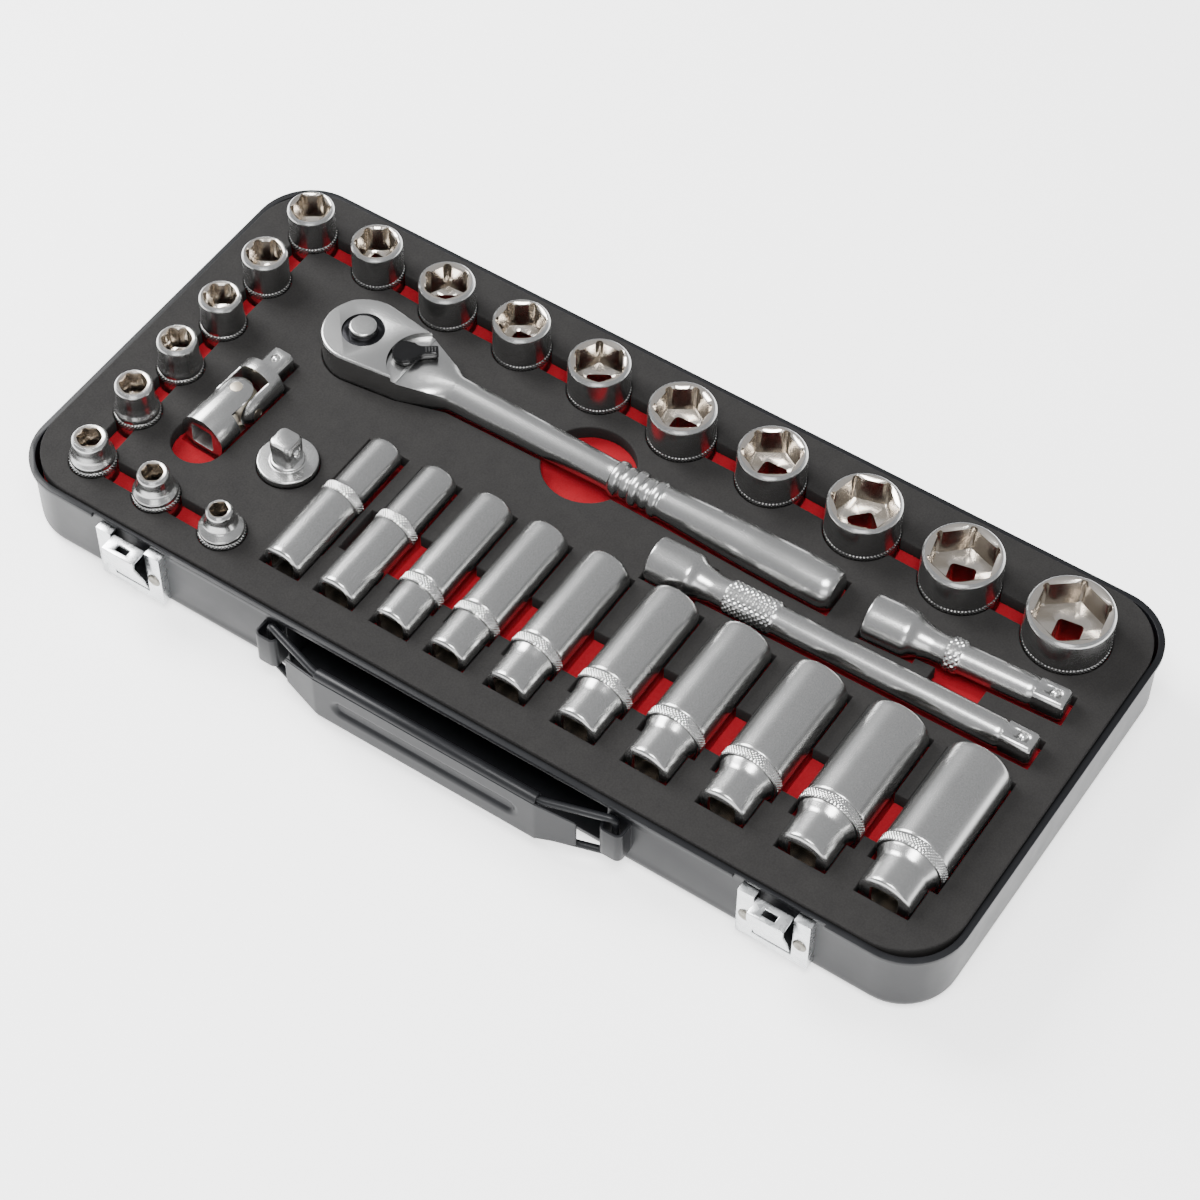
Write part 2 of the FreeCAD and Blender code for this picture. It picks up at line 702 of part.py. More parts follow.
def bail_bracket(side):
    """An upright open tube pressed out of the wall, which holds one end of the bail."""
    half = bracket_width / 2
    x = side * bail_side_x
    outer = block((x - half, WALL_Y - bracket_depth, bracket_bottom), (x + half, WALL_Y + 0.2, bracket_top))
    front = []
    for edge in outer.Edges:
        box = edge.BoundBox
        if box.ZMax - box.ZMin > 5 and box.YMax < WALL_Y - 1:
            front.append(edge)
    outer = outer.makeFillet(2.5, front)
    room = block((x - half + bracket_wall, WALL_Y - bracket_depth + bracket_wall, bracket_bottom - 1),
                 (x + half - bracket_wall, WALL_Y, bracket_top + 1))
    front = []
    for edge in room.Edges:
        box = edge.BoundBox
        if box.ZMax - box.ZMin > 5 and box.YMax < WALL_Y - 1:
            front.append(edge)
    return outer.cut(room.makeFillet(1.5, front))


def foam_blank(low, high, chamfer):
    inset = sheet + foam_gap
    blank = rounded_slab(tray_length / 2 - inset, tray_width / 2 - inset, corner_radius + foam_corner_extra, low, high)
    if chamfer > 0:
        blank = blank.makeChamfer(chamfer, edges_at(blank, low))
    return blank


def tool_pockets():
    """Everything cut for the tools themselves, as deep as each tool sits."""
    high = foam_top + 20
    cuts = []
    for size in standing_sockets:
        x, y = standing_centre(size)
        radius = standing_outer(size) + tool_clearance
        cuts.append(Part.makeCylinder(radius, high, vec(x, y, foam_top - standing_depth), UP))
    for size in deep_sockets:
        cuts += deep_pockets(size, high)
    cuts += ratchet_pockets(high)
    for place in (long_extension, short_extension):
        cuts += extension_pockets(place, high)
    cuts += joint_pockets(high)
    base = foam_top + adaptor_above_foam - adaptor_body
    cuts.append(Part.makeCylinder(adaptor_od / 2 + tool_clearance, high, vec(adaptor_x, adaptor_y, base), UP))
    return cuts


def deep_pockets(size, high):
    """One cut round the drive end and one round the ring and the hex end."""
    drive_od = deep_sockets[size][0]
    x = deep_sockets[size][2]
    low = foam_top - deep_outer(size) - 0.2
    ring_y = deep_drive_y + deep_ring_from_end - deep_pocket_step
    half = drive_od / 2 + tool_clearance
    drive_cut = block((x - half, deep_drive_y - deep_pocket_end, low), (x + half, ring_y + 1, high))
    half = deep_outer(size) + tool_clearance
    end = deep_drive_y + deep_length + deep_mouth_gap
    hex_cut = block((x - half, ring_y, low), (x + half, end, high))
    return [drive_cut, hex_cut]


def trench(widths, centre_y, low, high):
    """A cut along X whose half width changes along it, given as (x, half width) pairs."""
    near = [(x, centre_y - half) for x, half in widths]
    far = [(x, centre_y + half) for x, half in reversed(widths)]
    return polygon_prism(near + far, low, high)


def ratchet_pockets(high):
    """The room for the head, its anvil and the handle."""
    clear = tool_clearance
    floor = ratchet_axis_z - head_half_thickness - clear
    head = ratchet_head(clear, floor, high)
    widths = [(head_shoulder_x - 0.5, head_shoulder_half + clear), (neck_x, shank_radius_head + clear),
              (shank_end_x - 6.0, shank_radius_grip + clear), (shank_end_x, max(grip_ring_radii) + clear),
              (shank_end_x + 24.0, max(grip_ring_radii) + clear), (ratchet_end_x - 20.0, grip_end_radius + clear),
              (ratchet_end_x + 0.8, grip_end_radius + clear)]
    neck = trench(widths[:2], ratchet_y, floor, high)
    handle = trench(widths[1:], ratchet_y, ratchet_axis_z - grip_end_radius - clear, high)
    anvil_room = Part.makeCylinder(anvil_square / math.sqrt(2) + 2, high,
                                   vec(ratchet_x, ratchet_y, floor - anvil_length - 1.0), UP)
    return [head, neck, handle, anvil_room]


def extension_pockets(place, high):
    radius = extension_barrel_od / 2
    low = extension_z - radius - 0.2
    half = radius + tool_clearance
    barrel = block((-1.0, -half, low), (extension_barrel + extension_taper, half, high))
    half = extension_knurl_od / 2 + tool_clearance
    bar = block((0, -half, low), (place["length"] + 1.2, half, high))
    return [placed(cut, place["x"], place["y"], 0, place["turn"]) for cut in (barrel, bar)]


def joint_pockets(high):
    """The room for the joint, wide enough at its nose for a small swing."""
    radius = joint_od / 2
    low = joint_z - radius - tool_clearance
    half = radius + joint_pocket_side
    length = joint_front_length + joint_back_length
    body = block((-half, -1.0, low), (half, length + joint_tilt_room, high))
    half = male_square / 2 + joint_pocket_side + tool_clearance
    nose = block((-half, 0, low), (half, length + male_length + 1.2, high))
    shapes = []
    for shape in (body, nose):
        shapes.append(placed(shape, joint_x, joint_front_y, 0, joint_turn))
    return shapes


def slot_between(start, end, half, high):
    """A straight slot in the top sheet from one socket's centre to the next."""
    run_x = end[0] - start[0]
    run_y = end[1] - start[1]
    length = math.hypot(run_x, run_y)
    slot = block((0, -half, red_foam_top), (length, half, high))
    return placed(slot, start[0], start[1], 0, math.degrees(math.atan2(run_y, run_x)))


def finger_cuts():
    """Shallow cuts through the top sheet only, for fingers."""
    high = foam_top + 20
    half = finger_slot_width / 2
    cuts = []
    for row in (left_column, front_row, back_row):
        for first, second in zip(row, row[1:]):
            cuts.append(slot_between(standing_centre(first), standing_centre(second), half, high))
    cuts.append(block((trough_left, trough_front, red_foam_top), (trough_right, trough_back, high)))
    grip_hole = vec(finger_hole_x, ratchet_y + 1.5, red_foam_top)
    cuts.append(Part.makeCylinder(finger_hole_radius, high, grip_hole, UP))
    cuts.append(block((link_recess[0], long_extension["y"] + 4, red_foam_top),
                      (link_recess[1], short_extension["y"], high)))
    joint_hole = vec(joint_x - 0.5, joint_front_y - 1.0, red_foam_top)
    cuts.append(Part.makeCylinder(joint_finger_radius, high, joint_hole, UP))
    return cuts


def foam_black():
    blank = foam_blank(red_foam_top, foam_top, 0)
    return blank.cut(tool_pockets() + finger_cuts() + [grip_pocket(sheet + foam_gap)])


def foam_red():
    blank = foam_blank(sheet, red_foam_top, foam_bottom_chamfer)
    return blank.cut(tool_pockets() + [grip_pocket(sheet + foam_gap)])


def latch_plate(side):
    """A pressed plate with its top folded back to the wall, open in the middle for the tongue."""
    half = latch_width / 2
    x = side * latch_x
    out = WALL_Y - latch_out
    front = block((x - half, out, latch_bottom), (x + half, out + latch_sheet, latch_top))
    ledge = block((x - half, out, latch_top - latch_sheet), (x + half, WALL_Y - rim_trimmed_lip, latch_top))
    left = block((x - half, out, latch_bottom), (x - half + latch_sheet, WALL_Y, latch_top))
    right = block((x + half - latch_sheet, out, latch_bottom), (x + half, WALL_Y, latch_top))
    foot = block((x - half, out, latch_bottom), (x + half, WALL_Y, latch_bottom + latch_sheet))
    opening = tongue_width / 2 + tongue_gap
    window = block((x - opening, WALL_Y - 20, tongue_root_z - tongue_gap),
                   (x + opening, WALL_Y + 1, latch_top + 1))
    plate = fused([front, ledge, left, right, foot]).cut(window)
    for rivet_offset in (-rivet_side, rivet_side):
        rivet_x = x + rivet_offset
        hole = rod(rivet_radius + running_clearance, (rivet_x, WALL_Y - 20, rivet_z), (rivet_x, WALL_Y - 0.5, rivet_z))
        plate = plate.cut(hole)
    return plate


def latch_tongue(side):
    """The sprung catch: a scoop that stands out at the top and has a slot in its flat top."""
    x = side * latch_x
    half = tongue_width / 2
    root_y = WALL_Y - latch_out
    top_y = WALL_Y - tongue_top_out
    top_z = latch_top - 0.6
    thick = latch_sheet
    root_z = tongue_root_z + thick / 2
    outline = [(root_y + thick, root_z), (root_y, root_z), (top_y, top_z - 4.0), (top_y, top_z),
               (WALL_Y - tongue_top_in, top_z), (WALL_Y - tongue_top_in, top_z - thick), (top_y + thick, top_z - thick),
               (top_y + thick, top_z - 4.0)]
    points = [vec(x - half, y, z) for y, z in outline]
    tongue = Part.Face(Part.makePolygon(points + [points[0]])).extrude(vec(tongue_width, 0, 0))
    root = rod(thick / 2, (x - half, root_y + thick / 2, root_z), (x + half, root_y + thick / 2, root_z))
    tongue = tongue.fuse(root)
    slot_y = (top_y + WALL_Y - tongue_top_in) / 2 - tongue_slot_shift
    slot = block((x - tongue_slot_width / 2, slot_y - tongue_slot_depth / 2, top_z - 3),
                 (x + tongue_slot_width / 2, slot_y + tongue_slot_depth / 2, top_z + 1))
    return tongue.cut(slot)


def latch_rivets():
    """Four flat-headed rivets, two through each latch plate."""
    rivets = []
    for side in (-1, 1):
        for offset in (-rivet_side, rivet_side):
            x = side * latch_x + offset
            shaft = rod(rivet_radius, (x, WALL_Y - latch_out - 0.1, rivet_z), (x, WALL_Y, rivet_z))
            head = rod(rivet_head_radius, (x, WALL_Y - latch_out - rivet_head_height, rivet_z),
                       (x, WALL_Y - latch_out, rivet_z))
            rivets.append(shaft.fuse(head).removeSplitter())
    return Part.makeCompound(rivets)


def bail_points():
    """Corner points of the bail, from the left bracket up and round."""
    out = WALL_Y - bail_rest_out
    grip_y = WALL_Y - grip_centre_out
    bend = grip_centre_half + 0.6
    points = [(-bail_side_x, out, bail_bottom_z), (-bail_side_x, out, bail_top_z), (-bend, grip_y, bail_top_z),
              (bend, grip_y, bail_top_z), (bail_side_x, out, bail_top_z), (bail_side_x, out, bail_bottom_z),
              (bend, grip_y, bail_bottom_z), (-bend, grip_y, bail_bottom_z)]
    return points


def handle_bail():
    points = bail_points()
    pieces = []
    for index, start in enumerate(points):
        pieces.append(rod(bail_wire / 2, start, points[(index + 1) % len(points)]))
        pieces.append(Part.makeSphere(bail_wire / 2, vec(*start)))
    return fused(pieces)


def handle_grip():
    """A bowed pressed plate whose top and bottom edges are rolled round the bail."""
    centre_y = WALL_Y - grip_centre_out - bail_wire / 2
    end_y = WALL_Y - grip_end_out - bail_wire / 2
    low = bail_bottom_z
    high = bail_top_z
    middle = block((-grip_centre_half, centre_y - grip_sheet, low), (grip_centre_half, centre_y, high))
    pieces = [middle]
    for side in (-1, 1):
        outer_x = side * grip_end_half
        inner_x = side * grip_centre_half
        corners = [vec(inner_x, centre_y, low), vec(outer_x, end_y, grip_end_bottom),
                   vec(outer_x, end_y, grip_end_top), vec(inner_x, centre_y, high)]
        wing = Part.Face(Part.makePolygon(corners + [corners[0]])).extrude(vec(0, -grip_sheet, 0))
        pieces.append(wing)
    hem_outer = bail_wire / 2 + hem_clearance + hem_wall
    for height in (low, high):
        pieces.append(rod(hem_outer, (-grip_centre_half, WALL_Y - grip_centre_out, height),
                          (grip_centre_half, WALL_Y - grip_centre_out, height)))
    grip = pieces[0].fuse(pieces[1:])
    wire_room = []
    for height in (low, high):
        wire_room.append(rod(bail_wire / 2 + hem_clearance, (-grip_centre_half - 2, WALL_Y - grip_centre_out, height),
                             (grip_centre_half + 2, WALL_Y - grip_centre_out, height)))
    return grip.cut(wire_room).removeSplitter()


# ---------------------------------------------------------------- build
save(tray(), "case_tray")
save(foam_red(), "foam_red_base")
save(foam_black(), "foam_black_top")
for side, label in ((-1, "left"), (1, "right")):
    save(latch_plate(side), "latch_plate_" + label)
    save(latch_tongue(side), "latch_tongue_" + label)
save(latch_rivets(), "latch_rivets")
save(handle_bail(), "handle_bail")
save(handle_grip(), "handle_grip")

for size in standing_sockets:
    x, y = standing_centre(size)
    save(placed(standing_socket(size), x, y, foam_top - standing_depth), "socket_%02d" % size)
for size in deep_sockets:
    save(deep_socket(size), "deep_socket_%02d" % size)

save(ratchet_body(), "ratchet_body")
gear, gear_ball = ratchet_gear()
save(gear, "ratchet_drive_gear")
save(gear_ball, "ratchet_ball")
save(ratchet_cover(), "ratchet_cover_plate")
save(release_button(), "ratchet_release_button")
save(reversing_lever(), "ratchet_reversing_lever")
save(ratchet_pawl(), "ratchet_pawl")

for place, label in ((long_extension, "long"), (short_extension, "short")):
    bar, bar_ball = extension(place["length"], place["knurl"])
    save(lay_extension(bar, place), "extension_" + label)
    save(lay_extension(bar_ball, place), "extension_" + label + "_ball")

front_fork, back_fork, cross, joint_ball = universal_joint()
save(lay_universal_joint(front_fork), "joint_front_fork")
save(lay_universal_joint(back_fork), "joint_back_fork")
save(lay_universal_joint(cross), "joint_cross")
save(lay_universal_joint(joint_ball), "joint_ball")

step_adaptor, adaptor_ball = adaptor()
save(step_adaptor, "step_adaptor")
save(adaptor_ball, "step_adaptor_ball")
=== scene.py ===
# %% [markdown]
# # A socket wrench set in its tray case
# A CAD file already fixes where every tool lies and how it moves.  This lesson dresses that frame:
# each tool gets turned, knurled and polished shapes, and each surface gets a material built from
# nodes.  The frame is opened first, because every later step measures itself against it.

# %% Open the frame
import math

import bmesh
import bpy
from mathutils import Matrix, Vector, noise


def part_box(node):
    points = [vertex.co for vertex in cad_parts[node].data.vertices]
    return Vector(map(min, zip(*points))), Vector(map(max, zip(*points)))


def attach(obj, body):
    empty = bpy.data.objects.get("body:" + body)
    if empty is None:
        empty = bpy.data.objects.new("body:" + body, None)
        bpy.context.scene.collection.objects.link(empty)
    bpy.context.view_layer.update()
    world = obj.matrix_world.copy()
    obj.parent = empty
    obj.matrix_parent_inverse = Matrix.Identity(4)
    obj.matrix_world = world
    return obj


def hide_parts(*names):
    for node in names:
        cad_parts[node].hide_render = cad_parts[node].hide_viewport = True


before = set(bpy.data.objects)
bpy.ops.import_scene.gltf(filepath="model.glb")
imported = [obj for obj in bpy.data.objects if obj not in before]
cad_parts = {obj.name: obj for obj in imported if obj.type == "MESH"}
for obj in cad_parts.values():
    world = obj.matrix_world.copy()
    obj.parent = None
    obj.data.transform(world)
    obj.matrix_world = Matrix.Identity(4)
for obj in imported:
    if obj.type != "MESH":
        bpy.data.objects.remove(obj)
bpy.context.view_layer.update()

print("frame opened with", len(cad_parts), "nodes")

# %% [markdown]
# ## Millimetres, and one list of sizes
# Workshop drawings are in millimetres and Blender counts in metres, so one number turns one into
# the other.  The sizes below repeat the drawing's own, so that each dressed tool fits its pocket.

# %% Sizes that the whole set shares
MM = 0.001
FOAM_TOP = 34.0
RED_TOP = 28.0
DRIVE_SQUARE = 9.6
MALE_SQUARE = 9.4
MALE_LENGTH = 11.5
WALL_Y = -86.15

# hex size across flats : (mouth diameter, centre x, centre y, turn of the hex in degrees)
STANDING = {
    6: (10.0, -108.2, -68.4, 3), 7: (11.8, -137.9, -68.2, 3), 8: (13.3, -166.5, -68.2, 3),
    9: (14.1, -167.4, -41.6, 3), 10: (15.1, -167.7, -16.2, 3), 11: (16.0, -167.8, 9.4, 3),
    12: (17.3, -167.4, 35.7, 3), 13: (17.8, -167.0, 63.6, 3), 14: (19.5, -136.1, 63.0, 3),
    15: (21.3, -103.1, 61.5, 33), 16: (21.6, -69.5, 61.3, 3), 17: (23.3, -34.8, 60.6, 33),
    18: (25.2, 1.8, 59.4, 3), 19: (25.5, 39.5, 59.8, 3), 21: (27.4, 78.3, 58.5, 46),
    22: (29.2, 118.4, 57.9, 13), 24: (31.4, 161.0, 57.4, 9),
}
# hex size : (drive end diameter, hex end diameter, centre line x)
DEEP = {
    10: (16.4, 14.2, -81.3), 11: (16.4, 15.2, -57.9), 12: (15.6, 17.0, -34.2),
    13: (16.2, 17.8, -11.0), 14: (16.6, 19.4, 14.2), 15: (17.4, 20.6, 42.3),
    16: (17.8, 21.8, 71.0), 17: (18.2, 22.8, 101.0), 18: (19.2, 24.2, 132.3),
    19: (20.0, 25.2, 163.4),
}
print("standing sockets:", len(STANDING), " deep sockets:", len(DEEP))

# %% [markdown]
# ## Colours and one way to add a node
# Colours are written as the hex values that a screen shows.  Blender's shaders work in linear
# light, so one function turns a hex value into that.  A second small function adds any node with
# its settings and its links, which keeps each material short enough to read as a recipe.


# %% Colour and node helpers
def linear(hex_colour):
    """A screen colour such as #c8c8c8 as linear red, green, blue and alpha."""
    channels = []
    for start in (1, 3, 5):
        value = int(hex_colour[start:start + 2], 16) / 255
        channels.append(value / 12.92 if value <= 0.04045 else ((value + 0.055) / 1.055) ** 2.4)
    return (*channels, 1.0)


def add_node(tree, kind, settings=None, values=None, links=None):
    """Add one node: settings are its properties, values its unlinked inputs, links its linked ones."""
    node = tree.nodes.new(kind)
    for name, value in (settings or {}).items():
        setattr(node, name, value)
    for name, value in (values or {}).items():
        node.inputs[name].default_value = value
    for name, source in (links or {}).items():
        tree.links.new(source, node.inputs[name])
    return node


def start_material(name, **shader_values):
    """An empty material with one shader, and the tree and shader to build on."""
    material = bpy.data.materials.new(name)
    material.use_nodes = True
    tree = material.node_tree
    tree.nodes.clear()
    shader = add_node(tree, "ShaderNodeBsdfPrincipled", values=shader_values)
    add_node(tree, "ShaderNodeOutputMaterial", links={"Surface": shader.outputs["BSDF"]})
    place = add_node(tree, "ShaderNodeTexCoord").outputs["Object"]
    return material, tree, shader, place


def spread(tree, source, low, high):
    """Turn a 0 to 1 pattern into a number between low and high."""
    return add_node(tree, "ShaderNodeMapRange", values={"To Min": low, "To Max": high},
                    links={"Value": source}).outputs["Result"]


def blend_colours(tree, source, first, second):
    """A colour that runs from first to second as the pattern runs from 0 to 1."""
    ramp = add_node(tree, "ShaderNodeValToRGB", links={"Fac": source})
    ramp.color_ramp.elements[0].color = linear(first)
    ramp.color_ramp.elements[1].color = linear(second)
    return ramp.outputs["Color"]


print("a mid grey in linear light is %.3f" % linear("#808080")[0])

# %% [markdown]
# ## Satin chrome plate
# The tools are chrome vanadium steel, tumbled and then plated, so the chrome is bright but never a
# mirror: highlights are broad and soft.  A metal's colour is its reflection, so a mid grey base
# makes a plate that gives back about half of a white room.  Tumbling leaves a fine speckle, drawn
# about four times coarser than the real 0.1 mm so that it shows.  The same speckle moves colour
# and height together, and a large slow noise moves the roughness, as handling does.


# %% Satin chrome and the metals next to it
def chrome_plate(name, light, dark, smooth, rough, grain_mm, grain_height):
    material, tree, shader, place = start_material(name, Metallic=1.0)
    clouds = add_node(tree, "ShaderNodeTexNoise", values={"Scale": 1 / (14 * MM), "Detail": 3.0},
                      links={"Vector": place})
    grain = add_node(tree, "ShaderNodeTexNoise", values={"Scale": 1 / (grain_mm * MM), "Detail": 2.0},
                     links={"Vector": place})
    tree.links.new(blend_colours(tree, grain.outputs["Fac"], dark, light), shader.inputs["Base Color"])
    tree.links.new(spread(tree, clouds.outputs["Fac"], smooth, rough), shader.inputs["Roughness"])
    bump = add_node(tree, "ShaderNodeBump", values={"Strength": 0.35, "Distance": grain_height * MM},
                    links={"Height": grain.outputs["Fac"]})
    tree.links.new(bump.outputs["Normal"], shader.inputs["Normal"])
    return material


SATIN_CHROME = chrome_plate("satin chrome plate", "#c6c6c5", "#9c9c9b", 0.22, 0.29, 0.4, 0.016)
KNURLED_CHROME = chrome_plate("knurled chrome plate", "#cccccb", "#acacab", 0.20, 0.28, 0.4, 0.006)
# Broached and heat treated steel inside the hex: duller and warmer than the plate outside.
BROACHED_STEEL = chrome_plate("broached socket bore", "#d3cdc5", "#b5afa7", 0.14, 0.22, 0.5, 0.008)
# Ground steel that carries only a thin flash of plate, so it looks slightly cream.
GROUND_STEEL = chrome_plate("ground steel", "#cdc4b3", "#aaa192", 0.30, 0.42, 0.35, 0.015)
# Hardened balls are polished, and almost mirror bright.
BALL_STEEL = chrome_plate("polished ball steel", "#f0f0ee", "#e4e4e2", 0.06, 0.12, 0.6, 0.003)
# Chemical black on steel: dark and a little oily.
BLACK_OXIDE = chrome_plate("black oxide steel", "#2a2a2c", "#19191b", 0.30, 0.44, 0.4, 0.01)
print("metals ready")

# %% [markdown]
# ## Black paint on pressed steel
# The tray, the grip and its wire are pressed steel, powder-coated black.  Powder flows as it
# bakes and leaves a faint orange peel, about 1.5 mm from dimple to dimple, under a semi-gloss
# skin.  The eye reads it from the slightly wobbly reflections along the walls, so it is a bump.


# %% Powder-coated steel and gloss enamel
def black_paint(name, colour, edge_colour, smooth, rough, peel_mm, peel_height):
    material, tree, shader, place = start_material(name, IOR=1.5)
    shader.inputs["Specular IOR Level"].default_value = 0.24
    peel = add_node(tree, "ShaderNodeTexNoise", values={"Scale": 1 / (peel_mm * MM), "Detail": 2.0},
                    links={"Vector": place})
    dust = add_node(tree, "ShaderNodeTexNoise", values={"Scale": 1 / (9 * MM), "Detail": 5.0},
                    links={"Vector": place})
    tree.links.new(blend_colours(tree, dust.outputs["Fac"], colour, edge_colour), shader.inputs["Base Color"])
    tree.links.new(spread(tree, dust.outputs["Fac"], smooth, rough), shader.inputs["Roughness"])
    bump = add_node(tree, "ShaderNodeBump", values={"Strength": 0.3, "Distance": peel_height * MM},
                    links={"Height": peel.outputs["Fac"]})
    tree.links.new(bump.outputs["Normal"], shader.inputs["Normal"])
    return material


POWDER_COAT = black_paint("powder-coated steel", "#0d0e10", "#141518", 0.34, 0.46, 1.5, 0.02)
GLOSS_ENAMEL = black_paint("gloss black enamel", "#0a0a0b", "#111112", 0.12, 0.22, 2.5, 0.01)
print("paints ready")

# %% [markdown]
# ## Closed-cell EVA foam
# The tools rest in two sheets of closed-cell foam, black over red, glued together and cut by a
# plotter.  Up close the skin is full of cells a few tenths of a millimetre across.  They are drawn
# at 0.7 mm so that they survive at arm's length.  Foam scatters light in its cells and has no
# gloss, so roughness is high and the specular level low.


# %% Foam
def eva_foam(name, colour, pale_colour, cell_mm, cell_height):
    material, tree, shader, place = start_material(name)
    shader.inputs["Specular IOR Level"].default_value = 0.25
    shader.inputs["IOR"].default_value = 1.45
    cells = add_node(tree, "ShaderNodeTexVoronoi", values={"Scale": 1 / (cell_mm * MM)},
                     links={"Vector": place})
    mottle = add_node(tree, "ShaderNodeTexNoise", values={"Scale": 1 / (6 * MM), "Detail": 6.0},
                      links={"Vector": place})
    mottled = blend_colours(tree, mottle.outputs["Fac"], colour, pale_colour)
    tree.links.new(mottled, shader.inputs["Base Color"])
    tree.links.new(spread(tree, cells.outputs["Distance"], 0.72, 0.95), shader.inputs["Roughness"])
    bump = add_node(tree, "ShaderNodeBump", values={"Strength": 0.5, "Distance": cell_height * MM},
                    links={"Height": cells.outputs["Distance"]})
    tree.links.new(bump.outputs["Normal"], shader.inputs["Normal"])
    return material


BLACK_FOAM = eva_foam("black closed-cell EVA foam", "#1d1c1c", "#262524", 0.7, 0.05)
RED_FOAM = eva_foam("red closed-cell EVA foam", "#7a0612", "#8f0d1a", 0.7, 0.05)
print("foams ready")

# %% [markdown]
# ## Zinc plate
# The latches are stamped from zinc-plated strip.  Zinc grows in crystals a few millimetres across
# that catch the light differently, which the eye knows as spangle.  A cell pattern drives the
# colour and the roughness together, a little each.


# %% Zinc plate
def zinc_plate(name, light, dark, spangle_mm, smooth, rough):
    material, tree, shader, place = start_material(name, Metallic=1.0)
    spangle = add_node(tree, "ShaderNodeTexVoronoi", values={"Scale": 1 / (spangle_mm * MM)},
                       links={"Vector": place})
    rolled = add_node(tree, "ShaderNodeTexNoise", values={"Scale": 1 / (0.8 * MM), "Detail": 4.0},
                      links={"Vector": place})
    shade = add_node(tree, "ShaderNodeSeparateColor", links={"Color": spangle.outputs["Color"]})
    tree.links.new(blend_colours(tree, shade.outputs["Red"], dark, light), shader.inputs["Base Color"])
    tree.links.new(spread(tree, shade.outputs["Green"], smooth, rough), shader.inputs["Roughness"])
    bump = add_node(tree, "ShaderNodeBump", values={"Strength": 0.2, "Distance": 0.008 * MM},
                    links={"Height": rolled.outputs["Fac"]})
    tree.links.new(bump.outputs["Normal"], shader.inputs["Normal"])
    return material


ZINC_PLATE = zinc_plate("bright zinc plate", "#dadcdd", "#cdcfd0", 1.6, 0.24, 0.34)
DULL_ZINC = zinc_plate("dull zinc rivet", "#8f8c84", "#76736c", 1.0, 0.42, 0.55)
print("plates ready")

# %% [markdown]
# ## Turning a profile
# Nearly every tool here was turned on a lathe and then broached: round outside, hexagonal or
# square inside.  Both can be drawn as rings of points stacked along an axis.  A ring is a height
# and an outline, and an outline is simply a radius for each direction.  Joining one ring to the
# next gives clean quads, and joining the last to the first closes the skin through the bore.


# %% Outlines, as a radius in each direction
def circle(radius):
    return lambda angle: radius


def hexagon(flats, relief=0.0):
    """A hexagon, with a rounded relief groove pressed into each corner."""
    def outline(angle):
        step = (angle + math.pi / 6) % (math.pi / 3) - math.pi / 6
        radius = flats / 2 / math.cos(step)
        corner = abs(abs(step) - math.pi / 6) * radius
        groove = max(0.0, 1 - (corner / (0.055 * flats)) ** 2)
        return radius + relief * groove
    return outline


def square(flats, rounding):
    """A square whose corners are cut back to a round."""
    def outline(angle):
        flat = flats / 2 / max(abs(math.cos(angle)), abs(math.sin(angle)))
        limit = flats / 2 * math.sqrt(2) - rounding
        return -math.log(math.exp(-flat * 6) + math.exp(-limit * 6)) / 6
    return outline


def between(first, second, share):
    return lambda angle: first(angle) * (1 - share) + second(angle) * share


print("a 13 mm hexagon is %.2f mm across its corners" % (2 * hexagon(13)(math.pi / 6)))


# %% Rounding a profile's corners
def soften(points, radius, steps=3):
    """Round each inner corner of an open line of points, given as tuples of any length."""
    line = [Vector(point) for point in points]
    result = [line[0]]
    for before, corner, after in zip(line, line[1:], line[2:]):
        reach_in = min(radius, (before - corner).length * 0.48)
        reach_out = min(radius, (after - corner).length * 0.48)
        start = corner + (before - corner).normalized() * reach_in
        end = corner + (after - corner).normalized() * reach_out
        for step in range(steps + 1):
            share = step / steps
            result.append(start * (1 - share) ** 2 + corner * 2 * share * (1 - share) + end * share ** 2)
    result.append(line[-1])
    return [tuple(point) for point in result]


def round_rings(profile, radius=0.4, steps=3):
    """Rings of a turned shape from its (radius, height) profile."""
    return [(height, circle(reach)) for reach, height in soften(profile, radius, steps)]


# %% Joining rings into a skin
def skin(mesh, rings, place, around, close=False, cap_start=False, cap_end=False, finish=0):
    """Add a stack of rings to a mesh under construction."""
    rows = []
    for height, outline in rings:
        row = []
        for step in range(around):
            angle = 2 * math.pi * step / around
            reach = outline(angle)
            point = Vector((reach * math.cos(angle), reach * math.sin(angle), height)) * MM
            row.append(mesh.verts.new(place @ point))
        rows.append(row)
    faces = []
    pairs = list(zip(rows, rows[1:]))
    if close:
        pairs.append((rows[-1], rows[0]))
    for lower, upper in pairs:
        for step in range(around):
            following = (step + 1) % around
            faces.append(mesh.faces.new((lower[step], lower[following], upper[following], upper[step])))
    if cap_start:
        faces.append(mesh.faces.new(list(reversed(rows[0]))))
    if cap_end:
        faces.append(mesh.faces.new(rows[-1]))
    for face in faces:
        face.material_index = finish
        face.smooth = True
    return faces


def make_piece(name, mesh, materials, sharp=35):
    """Turn a finished construction mesh into an object with smooth shading and crisp corners."""
    bmesh.ops.recalc_face_normals(mesh, faces=mesh.faces)
    for edge in mesh.edges:
        if len(edge.link_faces) == 2 and edge.calc_face_angle(0) > math.radians(sharp):
            edge.smooth = False
    data = bpy.data.meshes.new(name)
    mesh.to_mesh(data)
    mesh.free()
    for material in materials:
        data.materials.append(material)
    piece = bpy.data.objects.new(name, data)
    bpy.context.scene.collection.objects.link(piece)
    return piece


def dress(piece, body, nodes):
    """Let a piece move with its body and stand for its CAD nodes."""
    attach(piece, body)
    if nodes:
        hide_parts(*nodes)
    return piece


print("lathe ready")

